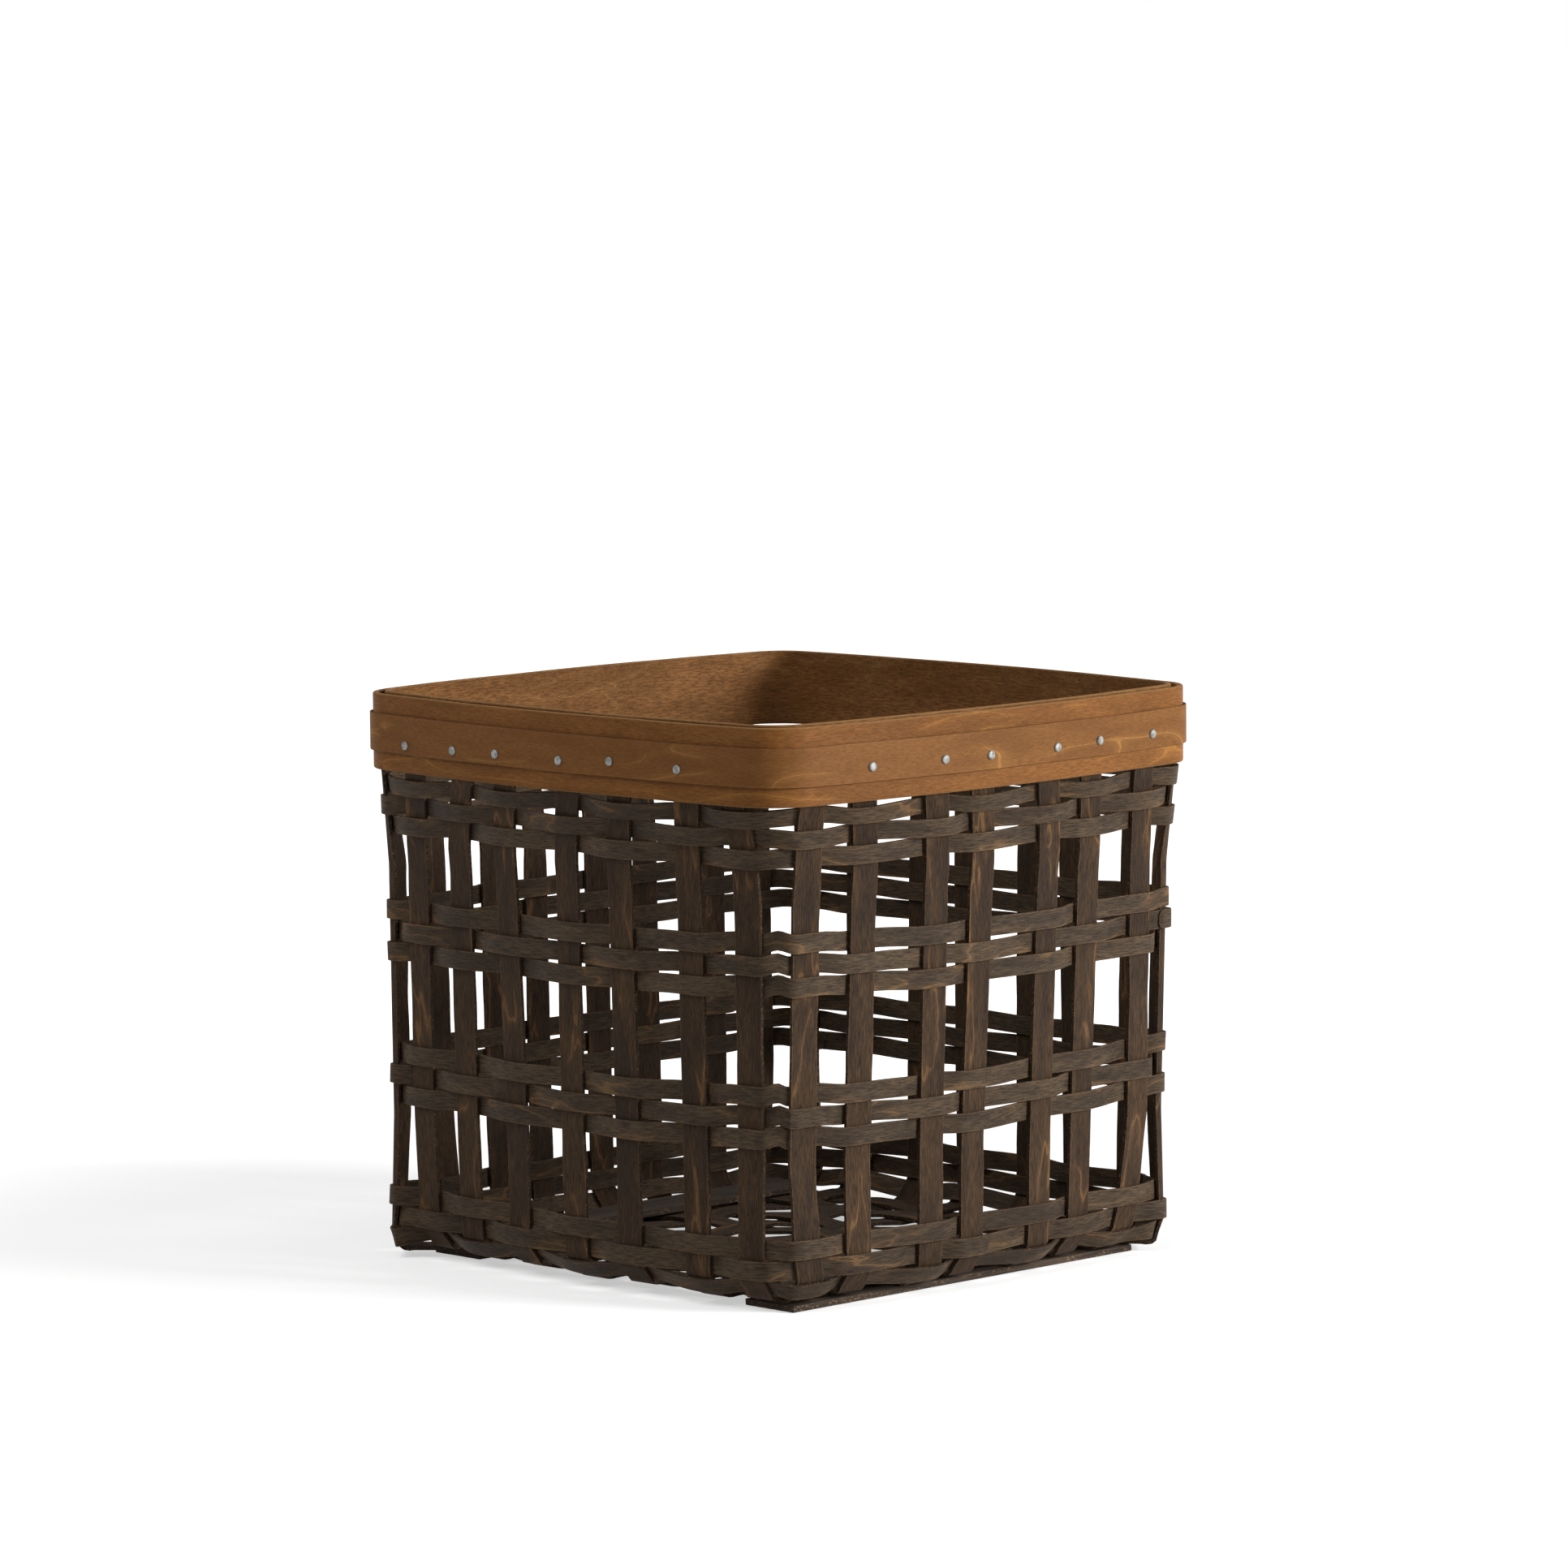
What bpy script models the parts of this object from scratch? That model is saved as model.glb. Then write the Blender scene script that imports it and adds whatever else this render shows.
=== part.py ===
"""Open square basket woven from flat wood splints, with a nailed double band round its rim.

Frame: +Z up, origin on the floor at the centre of the base. The -Y side is the front and the
+X side is the right. Lengths are in metres.
"""

import math

import bmesh
import bpy
from mathutils import Matrix, Vector

MM = 0.001

# Walls, measured to the middle of the upright stakes
rim_height = 285 * MM
wall_half_width = 144.0 * MM
foot_taper = 2.8 * MM
wall_bow = 12.3 * MM
wall_corner_radius = 17.6 * MM
flare_length = 20 * MM
corner_push = 5.8 * MM

# Corners with a stake: how far each stands out at the waist and at the foot, and how wide the
# stake turns under the base
left_corner_stand_out = (8.4 * MM, 15.4 * MM)
right_corner_stand_out = (5.1 * MM, 10.5 * MM)
left_turn_radius = 37 * MM
right_turn_radius = 30 * MM
left_corner_fold = math.radians(40)
right_corner_fold = math.radians(40)

# Rim, from outside to inside: trim, outer band, slot for the stakes, inner band
band_flare = 14.9 * MM
band_height = 38.1 * MM
band_thickness = 3.0 * MM
band_bow = 12.6 * MM
band_corner_radius = 27.6 * MM
slot_width = 3.0 * MM
trim_height = 19.0 * MM
trim_thickness = 1.3 * MM
trim_drop = 9.6 * MM

# Splints
stake_width = 15.4 * MM
stake_thickness = 1.8 * MM
stake_top_drop = 3 * MM
end_stake_inset = 25.8 * MM
spaces_to_end_stake = 3
weaver_width = 9.2 * MM
weaver_thickness = 1.3 * MM
seat_gap = 0.3 * MM
corner_seat_room = 0.4 * MM
fold_gap = 1.4 * MM
flat_margin = 1.0 * MM
wall_bend_radius = 13 * MM
corner_bend_radius = 6 * MM

# Weaver rows: four groups of three, top to bottom
first_group_drop = 16.9 * MM
last_group_height = 20.8 * MM
group_steps = (9.9 * MM, 10.4 * MM, 10.3 * MM, 9.8 * MM)

# Runners under the base and slats on it
runner_thickness = 3.2 * MM
runner_width = 33.5 * MM
runner_inset = 29.7 * MM
runner_end_inset = 21.2 * MM
slat_thickness = 3.2 * MM
slat_width = 27 * MM
slat_inset = 35.7 * MM
slat_end_inset = 27.2 * MM

# Tacks
head_diameter = 4.6 * MM
head_thickness = 0.9 * MM
shank_diameter = 1.5 * MM
hole_clearance = 0.3 * MM
tack_sides = 6

# How far along a wall it starts to stand out towards a corner with a stake, how high the waist
# is below the band, and how much of each corner stake's width comes before its fold
push_start_share = 0.5
waist_share = 0.61
left_leg_share = 0.64
right_leg_share = 0.36

# Where a weaver stays outside on one more stake: its row and its place round the wall
doubled_seats = ((3, 16),)

# Middle rows of the groups, between the last one and the first one
group_height_shares = (1.0, 0.693, 0.343, 0.0)

# Rows of a group: height over the middle row, as shares of the group's step
row_place_shares = (1.04, 0.0, -1.0)

# How much each group of rows stands higher at the near, right, far and left corners,
# as shares of its step
corner_rise_shares = (
    (0.10, 0.48, 0.44, 0.05),
    (0.02, 0.21, 0.24, 0.00),
    (0.00, 0.10, 0.10, 0.00),
    (-0.15, -0.10, 0.00, 0.00),
)

# Places of the stakes along each wall, as shares of their even spacing: at the band, below the
# first rows, above the last rows and on the base. Two more ends stand on corners.
front_stake_shares = (
    (-2.68, -2.89, -2.90, -2.78), (-1.71, -2.06, -2.05, -1.98), (-0.88, -1.16, -1.07, -1.04),
    (0.28, -0.01, -0.02, 0.02), (1.16, 0.92, 0.94, 0.96), (2.27, 2.06, 2.06, 2.06),
    (2.98, 2.96, 2.92, 2.85),
)
back_stake_shares = (
    (-2.98, -2.98, -2.95, -2.85), (-2.10, -2.10, -2.08, -2.04), (-1.02, -1.02, -1.03, -1.02),
    (-0.24, -0.24, -0.18, -0.12), (0.91, 0.91, 0.93, 0.94), (1.68, 1.68, 1.80, 1.86),
    (2.90, 2.82, 2.80, 2.76),
)
right_stake_shares = (
    (-3.12, -2.98, -3.01, -2.83), (-2.32, -2.09, -2.17, -2.12), (-1.14, -0.91, -0.97, -0.98),
    (-0.36, -0.12, -0.26, -0.28), (0.84, 1.10, 0.98, 0.94), (1.65, 1.89, 1.78, 1.68),
    (2.72, 2.88, 2.87, 2.50),
)
left_stake_shares = (
    (-2.75, -2.70, -2.67, -2.46), (-1.66, -1.66, -1.66, -1.60),
    (-0.85, -0.85, -0.87, -0.84), (0.25, 0.25, 0.22, 0.24), (1.10, 1.10, 1.08, 1.08),
    (2.25, 2.25, 2.20, 2.14), (3.00, 3.00, 2.98, 2.83),
)

# Drop of each tack below the middle of the trim, as a share of the trim's height
front_tack_drop_shares = (0.26, 0.24, 0.20, 0.20, 0.10, 0.16)
right_tack_drop_shares = (0.12, 0.12, 0.14, 0.14, 0.10, 0.12)

# Worked out from the sizes above
foot_half_width = wall_half_width - foot_taper
band_half_width = wall_half_width + band_flare
stake_spacing = (wall_half_width - end_stake_inset) / spaces_to_end_stake
band_bottom = rim_height - band_height
waist_height = band_bottom * waist_share
first_group_height = band_bottom - first_group_drop
group_heights = [last_group_height + (first_group_height - last_group_height) * share
                 for share in group_height_shares]
slot_middle = band_thickness + slot_width / 2
inner_band_depth = band_thickness + slot_width
weave_offset = (stake_thickness + weaver_thickness) / 2 + seat_gap
lattice_offset = (stake_thickness + seat_gap) / 2
lattice_height = runner_thickness + seat_gap + stake_thickness / 2 + lattice_offset
slat_bottom = lattice_height + lattice_offset + stake_thickness / 2 + seat_gap
shoulder_height = group_heights[0] - 2 * group_steps[0]
flare_end_height = (shoulder_height + group_heights[1] + 2 * group_steps[1]) / 2
foot_height = group_heights[2] - 2 * group_steps[2]
half_flat = stake_width / 2 + flat_margin
slot_corner_radius = band_corner_radius - slot_middle
fold_bottom = lattice_height + 2 * wall_bend_radius
trim_middle = rim_height - trim_drop - trim_height / 2
runner_place = foot_half_width - runner_inset
runner_length = 2 * (foot_half_width - runner_end_inset)
slat_place = foot_half_width - slat_inset
slat_length = 2 * (foot_half_width - slat_end_inset)

SIDES = ("front", "right", "back", "left")
WELD_DISTANCE = 0.003 * MM
ROWS_IN_GROUP = 3
ROWS = ROWS_IN_GROUP * len(group_heights)
BEND_STEPS = 4
TURN_STEPS = 3
BAND_SIDE_STEPS = 6
BAND_CORNER_STEPS = 5


class Plan:
    """A square outline of four long arcs for its sides and four short ones for its corners."""

    def __init__(self, half_width, side_radius, corner_radius):
        self.half_width = half_width
        self.side_radius = side_radius
        self.corner_radius = corner_radius
        centre = half_width - side_radius
        reach = side_radius - corner_radius
        self.corner_centre = (centre + math.sqrt(2 * reach ** 2 - centre ** 2)) / 2
        self.side_angle = math.atan2(self.corner_centre, self.corner_centre - centre)

    def out_at(self, across):
        """Distance of a side from the axis at a place across it."""
        return self.half_width - self.side_radius + math.sqrt(self.side_radius ** 2 - across ** 2)

    def corner_reach(self):
        return self.corner_centre * math.sqrt(2) + self.corner_radius

    def corner_point(self, side, share, depth=0):
        """Point on the corner that follows a side, at a depth inside the outline."""
        angle = mix(self.side_angle, math.pi / 2 - self.side_angle, share)
        radius = self.corner_radius - depth
        return turned(self.corner_centre + radius * math.cos(angle),
                      self.corner_centre + radius * math.sin(angle), side)

    def side_point(self, side, share, depth=0):
        """Point on a side, at a depth inside the outline."""
        angle = mix(-self.side_angle, self.side_angle, share)
        radius = self.side_radius - depth
        out = self.half_width - self.side_radius + radius * math.cos(angle)
        return turned(out, radius * math.sin(angle), side)


def turned(out, across, side):
    """Flat point from its distance out and its place across a side, anticlockwise."""
    angle = (SIDES.index(side) - 1) * math.pi / 2
    return Vector((out * math.cos(angle) - across * math.sin(angle),
                   out * math.sin(angle) + across * math.cos(angle), 0))


def mix(low, high, share):
    return low + (high - low) * share


def share_between(value, low, high):
    return min(max((value - low) / (high - low), 0), 1)


def arc_radius(half_width, bow):
    """Radius of a side that bows out by a given rise."""
    return (half_width ** 2 + bow ** 2) / (2 * bow)


def flare_at(height):
    """One inside the band, dying away down the wall."""
    return math.exp(-max(band_bottom - height, 0) / flare_length)


def bend_inset(height, radius):
    """How far the wall has turned in towards the base at a height."""
    drop = min(max(lattice_height + radius - height, 0), radius)
    return radius - math.sqrt(radius ** 2 - drop ** 2)


band_plan = Plan(band_half_width, arc_radius(band_half_width, band_bow), band_corner_radius)


def wall_plan(height):
    """Outline of the wall through the middle of the stakes at a height."""
    flare = flare_at(height)
    straight = mix(foot_half_width, wall_half_width, share_between(height, 0, band_bottom))
    return Plan(mix(straight, band_plan.half_width - slot_middle, flare),
                mix(arc_radius(straight, wall_bow), band_plan.side_radius - slot_middle, flare),
                mix(wall_corner_radius, band_plan.corner_radius - slot_middle, flare))


def wall_point(side, across, height):
    """Point on the wall, which stands out further near the left and right corners."""
    towards_full_corner = across if side in ("right", "left") else -across
    push = share_between(towards_full_corner, wall_half_width * push_start_share, wall_half_width)
    out = wall_plan(height).out_at(across) + corner_push * push * (1 - flare_at(height))
    out -= bend_inset(height, wall_bend_radius)
    return turned(out, across, side) + Vector((0, 0, height))


def group_rise(corner, nearness):
    """Rise of each group of rows, dying away from a corner along its walls."""
    return [share * nearness ** 2 for share in corner_rise_shares[corner % len(SIDES)]]


def row_height(row, rises):
    group, place = divmod(row, ROWS_IN_GROUP)
    return group_heights[group] + group_steps[group] * (row_place_shares[place] + rises[group])


class StakeEnd:
    """One end of a stake, which stands against a wall."""

    def __init__(self, side, shares):
        self.side = side
        self.sign = 1 if side in ("front", "right") else -1
        self.shares = shares
        self.bend_radius = wall_bend_radius
        across = shares[1] * stake_spacing * self.sign
        corner = SIDES.index(side) if across > 0 else SIDES.index(side) - 1
        self.rises = group_rise(corner, abs(across) / wall_half_width)

    def across_at(self, height):
        rim, shoulder, foot, base = (share * stake_spacing * self.sign for share in self.shares)
        if height >= shoulder_height:
            flare = share_between(flare_at(height), flare_at(shoulder_height), 1)
            return mix(shoulder, rim, flare)
        if height >= foot_height:
            return mix(foot, shoulder, share_between(height, foot_height, shoulder_height))
        lean = 1 - share_between(height, lattice_height, foot_height)
        return mix(foot, base, lean ** 2)

    def point(self, height):
        return wall_point(self.side, self.across_at(height), height)

    def across(self, height):
        """Direction of the stake's width, anticlockwise round the wall."""
        place = self.across_at(height)
        before = wall_point(self.side, place - stake_width / 2, height)
        after = wall_point(self.side, place + stake_width / 2, height)
        return (after - before).normalized()

    def section(self, height, places):
        """Points across the stake at a height, from their distances off its middle line."""
        return [self.point(height) + self.across(height) * place for place in places]

    def seat_places(self):
        """Where a weaver that crosses this stake touches it, off its middle line."""
        return [-half_flat, half_flat]


class CornerEnd(StakeEnd):
    """One end of a stake that is folded lengthwise round the corner after a side."""

    def __init__(self, side, leg_share, stand_out, fold, turn_radius):
        self.side = side
        self.fold = fold
        self.turn_radius = turn_radius
        self.bend_radius = corner_bend_radius
        self.rises = group_rise(SIDES.index(side), 1)
        self.fold_place = stake_width * (leg_share - 0.5)
        self.waist_stand_out, self.foot_stand_out = stand_out

    def outward(self):
        return turned(1, 1, self.side).normalized()

    def point(self, height):
        foot = wall_plan(0).corner_reach() + self.foot_stand_out
        waist = wall_plan(waist_height).corner_reach() + self.waist_stand_out
        reach = mix(foot, waist, share_between(height, 0, waist_height))
        if height > waist_height:
            reach = mix(waist, wall_plan(rim_height).corner_reach(),
                        share_between(height, waist_height, band_bottom))
        reach -= bend_inset(height, self.bend_radius)
        return self.outward() * reach + Vector((0, 0, height))

    def across(self, height):
        return turned(-1, 1, self.side).normalized()

    def section(self, height, places):
        """Flat on the base, folded up the wall and round as the band inside it."""
        roundness = share_between(height, flare_end_height, band_bottom)
        upright = share_between(height, lattice_height, fold_bottom)
        angle = self.fold * upright * (1 - roundness)
        points = []
        for place in places:
            off_fold = place - self.fold_place
            along = off_fold * math.cos(angle) + self.fold_place * (1 - upright)
            drop = abs(off_fold) * math.sin(angle)
            drop += roundness * off_fold ** 2 / (2 * slot_corner_radius)
            points.append(self.point(height) + self.across(height) * along
                          - self.outward() * drop)
        return points

    def lines(self):
        """Where the stake's lengthwise lines run: its edges, its fold and halfway to it."""
        half = stake_width / 2
        return [-half, (self.fold_place - half) / 2, self.fold_place,
                (self.fold_place + half) / 2, half]

    def seat_places(self):
        return [-half_flat] + self.lines()[1:-1] + [half_flat]


class BareCorner:
    """The middle of a corner without a stake, where the weavers only turn."""

    def __init__(self, side):
        self.side = side
        self.bend_radius = wall_bend_radius
        self.rises = group_rise(SIDES.index(side), 1)

    def point(self, height):
        reach = wall_plan(height).corner_reach() - bend_inset(height, self.bend_radius)
        return turned(1, 1, self.side).normalized() * reach + Vector((0, 0, height))

    def section(self, height, places):
        return [self.point(height)]

    def seat_places(self):
        return [0]


def knot_heights(place):
    """Heights between which the wall is straight, so that weavers lie flat on it."""
    rows = [row_height(row, place.rises) for row in range(ROWS)]
    first = rows[:ROWS_IN_GROUP]
    last = rows[-ROWS_IN_GROUP:]
    middle_of_last = (last[1] + last[2]) / 2
    bend_top = lattice_height + place.bend_radius
    straight = max(middle_of_last - bend_top, 0)
    turn = math.asin(max(bend_top - middle_of_last, 0) / place.bend_radius)
    turn += (weaver_width + 2 * fold_gap - straight) / place.bend_radius
    return [rim_height - stake_top_drop, band_bottom, (first[0] + first[1]) / 2,
            (first[1] + first[2]) / 2, shoulder_height, flare_end_height, foot_height,
            (last[0] + last[1]) / 2, middle_of_last, bend_top - place.bend_radius * math.sin(turn)]


def row_seats(place, row):
    """Centres of a weaver row on the wall at a place, and the wall's slope at each."""
    heights = knot_heights(place)
    height = row_height(row, place.rises)
    if row == ROWS - 1:
        height = (heights[-1] + heights[-2]) / 2
    for above, below in zip(heights, heights[1:]):
        if above >= height >= below:
            break
    tops = place.section(above, place.seat_places())
    bottoms = place.section(below, place.seat_places())
    share = (height - below) / (above - below)
    return [(bottom.lerp(top, share), (top - bottom).normalized())
            for top, bottom in zip(tops, bottoms)]


def outward_steps(seats):
    """Steps off the wall at each seat, longer at a fold so that its two sides move alike."""
    facings = []
    for (centre, up), (following, _) in zip(seats, seats[1:]):
        facings.append((following - centre).cross(up).normalized())
    if not facings:
        return [Vector()]
    steps = [(one + other) / (1 + one.dot(other)) for one, other in zip(facings, facings[1:])]
    return facings[:1] + steps + facings[-1:]


def make_material(name, colour, roughness, metallic=0.0):
    """A plain Principled material."""
    material = bpy.data.materials.new(name)
    material.use_nodes = True
    shader = material.node_tree.nodes["Principled BSDF"]
    shader.inputs["Base Color"].default_value = (*colour, 1.0)
    shader.inputs["Roughness"].default_value = roughness
    shader.inputs["Metallic"].default_value = metallic
    material.diffuse_color = (*colour, 1.0)
    return material


def add_mesh(name, mesh, material, collection):
    part = bpy.data.objects.new(name, mesh)
    mesh.materials.append(material)
    collection.objects.link(part)
    return part


def add_strip(name, stations, thickness, material, collection):
    """A flat strip through stations, each a row of points across it, with a real thickness."""
    across_steps = len(stations[0]) - 1
    along_steps = len(stations) - 1
    shape = bmesh.new()
    bmesh.ops.create_grid(shape, x_segments=along_steps, y_segments=across_steps, size=1)
    for vertex in shape.verts:
        along = round((vertex.co.x + 1) / 2 * along_steps)
        across = round((vertex.co.y + 1) / 2 * across_steps)
        vertex.co = stations[along][across]
    bmesh.ops.remove_doubles(shape, verts=shape.verts, dist=WELD_DISTANCE)
    mesh = bpy.data.meshes.new(name)
    shape.to_mesh(mesh)
    shape.free()
    part = add_mesh(name, mesh, material, collection)
    solid = part.modifiers.new("Thickness", "SOLIDIFY")
    solid.thickness = thickness
    solid.offset = 0
    solid.use_even_offset = True
    return part


def side_stake_above(front_back, side):
    """Whether the stake from the sides lies on the one from the front at a crossing."""
    at_right_corner = side == len(right_ends) - 1 and front_back == len(front_ends) - 1
    return (front_back + side) % 2 == 1 and not at_right_corner


def base_turn(end, towards):
    """Flat points from the foot of a stake's bend to the start of its run on the base."""
    foot = end.point(lattice_height)
    foot.z = 0
    if not isinstance(end, CornerEnd):
        return [foot]
    heading = -end.outward()
    clockwise = heading.cross(towards).z < 0
    sideways = Vector((heading.y, -heading.x, 0)) if clockwise else Vector((-heading.y, heading.x, 0))
    start = foot + heading * (wall_bend_radius - end.bend_radius)
    points = []
    for step in range(TURN_STEPS + 1):
        angle = math.pi / 4 * step / TURN_STEPS
        moved = heading * math.sin(angle) + sideways * (1 - math.cos(angle))
        points.append(start + moved * end.turn_radius)
    return points


def base_turns(first, second):
    """Turns at both ends of a stake's run on the base."""
    towards = second.point(lattice_height) - first.point(lattice_height)
    return base_turn(first, towards), base_turn(second, -towards)


def crossing(first_line, second_line):
    """Flat point where two straight runs cross."""
    start = first_line[0]
    along = first_line[1] - start
    other_along = second_line[1] - second_line[0]
    share = (second_line[0] - start).cross(other_along).z / along.cross(other_along).z
    return start + along * share


def straight_run(ends):
    turns = base_turns(*ends)
    return turns[0][-1], turns[1][-1]


def stake_lines(ends, width):
    """Where a stake's lengthwise lines run across it, towards a direction of its width."""
    for end in ends:
        if isinstance(end, CornerEnd):
            sign = 1 if end.across(0).dot(width) > 0 else -1
            return sorted(sign * line for line in end.lines())
    return [-stake_width / 2, stake_width / 2]


def stake_stations(ends, number, crossed, from_side):
    """Stations of a stake: down one wall, across the base and up the other wall."""
    turns = base_turns(*ends)
    line = straight_run(ends)
    heading = (line[1] - line[0]).normalized()
    width = Vector((heading.y, -heading.x, 0))
    lines = stake_lines(ends, width)
    flats = []
    for other, other_ends in enumerate(crossed):
        above = side_stake_above(other, number) if from_side else not side_stake_above(number, other)
        level = lattice_height + (lattice_offset if above else -lattice_offset)
        flats.append(crossing(line, straight_run(other_ends)) + Vector((0, 0, level)))
    flats.sort(key=lambda flat: (flat - line[0]).dot(heading))
    middle = [flat + heading * along for flat in flats for along in (-half_flat, half_flat)]
    stations = wall_stations(ends[0], turns[0], flats[0].z, width, lines)
    for centre in middle[1:-1]:
        stations.append([centre + width * line for line in lines])
    return stations + wall_stations(ends[1], turns[1], flats[-1].z, width, lines)[::-1]


def wall_stations(end, turn, level, base_width, lines):
    """Stations of one end of a stake, from its tip down to the start of its run on the base."""
    heights = knot_heights(end)
    sign = 1 if end.across(heights[-1]).dot(base_width) > 0 else -1
    places = [sign * line for line in lines]
    stations = [end.section(height, places) for height in heights]
    wall_across = end.across(heights[-1]) * sign
    bend_top = lattice_height + end.bend_radius
    lowest_turn = math.asin((bend_top - heights[-1]) / end.bend_radius)
    for step in range(1, BEND_STEPS + 1):
        share = step / BEND_STEPS
        height = bend_top - end.bend_radius * math.sin(mix(lowest_turn, math.pi / 2, share))
        points = end.section(height, places)
        if len(turn) == 1:
            across = wall_across.lerp(base_width, share).normalized()
            points = [end.point(height) + across * line for line in lines]
        lift = Vector((0, 0, (level - lattice_height) * share))
        stations.append([point + lift for point in points])
    for step, flat in list(enumerate(turn))[1:]:
        across = wall_across.lerp(base_width, step / TURN_STEPS).normalized()
        centre = flat + Vector((0, 0, level))
        stations.append([centre + across * line for line in lines])
    return stations


def ring_stations(places, row):
    """Stations of a weaver round the wall, outside and inside the stakes in turn."""
    stations = []
    outside = row % 2 == 1
    for number, place in enumerate(places):
        seats = row_seats(place, row)
        offset = 0
        if isinstance(place, StakeEnd):
            offset = weave_offset + (corner_seat_room if isinstance(place, CornerEnd) else 0)
            offset = offset if outside or (row, number) in doubled_seats else -offset
            outside = not outside
        for (centre, up), outward in zip(seats, outward_steps(seats)):
            point = centre + outward * offset
            stations.append((point - up * weaver_width / 2, point + up * weaver_width / 2))
    return stations + stations[:1]


def band_stations(depth, bottom, height):
    """Stations of an upright band at a depth inside the outer band's outline."""
    points = []
    for side in SIDES:
        for step in range(BAND_SIDE_STEPS):
            points.append(band_plan.side_point(side, step / BAND_SIDE_STEPS, depth))
        for step in range(BAND_CORNER_STEPS):
            points.append(band_plan.corner_point(side, step / BAND_CORNER_STEPS, depth))
    low = Vector((0, 0, bottom))
    high = Vector((0, 0, bottom + height))
    return [(point + low, point + high) for point in points + points[:1]]


def add_holed_strip(name, stations, thickness, material):
    """A strip with clearance holes for the tacks."""
    strip = add_strip(name, stations, thickness, material, parts)
    holes = strip.modifiers.new("Tack holes", "BOOLEAN")
    holes.operation = "DIFFERENCE"
    holes.object = tack_holes


def add_board(name, place, width, length, thickness, bottom, material):
    """A flat board along the base."""
    mesh = bpy.data.meshes.new(name)
    shape = bmesh.new()
    bmesh.ops.create_cube(shape, size=1)
    bmesh.ops.scale(shape, verts=shape.verts, vec=(width, length, thickness))
    shape.to_mesh(mesh)
    shape.free()
    board = add_mesh(name, mesh, material, parts)
    board.location = (place, 0, bottom + thickness / 2)
    return board


def tack_placings():
    """Where each tack's head meets the trim, as a matrix with +Z pointing out of the band."""
    rows = (
        ("front", front_ends[:-1], front_tack_drop_shares),
        ("right", right_ends[1:-1], right_tack_drop_shares),
        ("back", back_ends[:0:-1], front_tack_drop_shares),
        ("left", left_ends[:1:-1], right_tack_drop_shares),
    )
    placings = []
    for side, stakes, shares in rows:
        for stake, drop_share in zip(stakes, shares):
            across = stake.across_at(rim_height)
            centre = band_half_width - band_plan.side_radius
            outward = turned(band_plan.out_at(across) - centre, across, side).normalized()
            foot = turned(band_plan.out_at(across), across, side)
            foot.z = trim_middle - drop_share * trim_height
            foot += outward * (trim_thickness + 2 * seat_gap)
            turn = outward.to_track_quat("Z", "Y").to_matrix().to_4x4()
            placings.append(Matrix.Translation(foot) @ turn)
    return placings


def tack_mesh(length):
    """A tack with a domed head on +Z and its shank below, turned from its profile."""
    head = head_diameter / 2
    shank = shank_diameter / 2
    profile = [(0, head_thickness), (head / 2, head_thickness), (head, head_thickness / 3),
               (head, 0), (shank, 0), (shank, -length), (0, -length)]
    shape = bmesh.new()
    verts = [shape.verts.new((out, 0, height)) for out, height in profile]
    edges = [shape.edges.new(pair) for pair in zip(verts, verts[1:])]
    bmesh.ops.spin(shape, geom=verts + edges, cent=(0, 0, 0), axis=(0, 0, 1),
                   angle=2 * math.pi, steps=tack_sides, use_merge=True)
    bmesh.ops.remove_doubles(shape, verts=shape.verts, dist=WELD_DISTANCE)
    bmesh.ops.recalc_face_normals(shape, faces=shape.faces)
    mesh = bpy.data.meshes.new("tack")
    shape.to_mesh(mesh)
    shape.free()
    return mesh


def add_tack_holes(placings, collection):
    """Cutters for the clearance holes of all the tacks."""
    shape = bmesh.new()
    overrun = band_thickness
    depth = trim_thickness + inner_band_depth + band_thickness + 2 * overrun
    for placing in placings:
        middle = Matrix.Translation((0, 0, overrun - depth / 2))
        bmesh.ops.create_cone(shape, cap_ends=True, segments=tack_sides, depth=depth,
                              radius1=shank_diameter / 2 + hole_clearance,
                              radius2=shank_diameter / 2 + hole_clearance,
                              matrix=placing @ middle)
    mesh = bpy.data.meshes.new("tack_holes")
    shape.to_mesh(mesh)
    shape.free()
    cutter = bpy.data.objects.new("tack_holes", mesh)
    collection.objects.link(cutter)
    cutter.hide_render = True
    cutter.display_type = "WIRE"
    return cutter


for leftover in list(bpy.data.objects):
    bpy.data.objects.remove(leftover, do_unlink=True)

parts = bpy.data.collections.new("woven_basket")
cutters = bpy.data.collections.new("cutters")
for group in (parts, cutters):
    bpy.context.scene.collection.children.link(group)

splint_wood = make_material("splint_wood", (0.045, 0.031, 0.022), 0.75)
band_wood = make_material("band_wood", (0.200, 0.095, 0.038), 0.55)
trim_wood = make_material("trim_wood", (0.150, 0.085, 0.045), 0.60)
board_wood = make_material("board_wood", (0.085, 0.055, 0.035), 0.85)
tack_metal = make_material("tack_metal", (0.62, 0.63, 0.62), 0.35, 1.0)

# Both ends of every stake, in the directions of the axes
front_ends = [StakeEnd("front", shares) for shares in front_stake_shares]
back_ends = [StakeEnd("back", shares) for shares in back_stake_shares]
right_ends = [StakeEnd("right", shares) for shares in right_stake_shares]
right_ends.append(CornerEnd("right", right_leg_share, right_corner_stand_out,
                            right_corner_fold, right_turn_radius))
left_ends = [CornerEnd("left", left_leg_share, left_corner_stand_out, left_corner_fold,
                       left_turn_radius)]
left_ends += [StakeEnd("left", shares) for shares in left_stake_shares]
front_pairs = list(zip(front_ends, back_ends))
side_pairs = list(zip(right_ends, left_ends))

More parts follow.
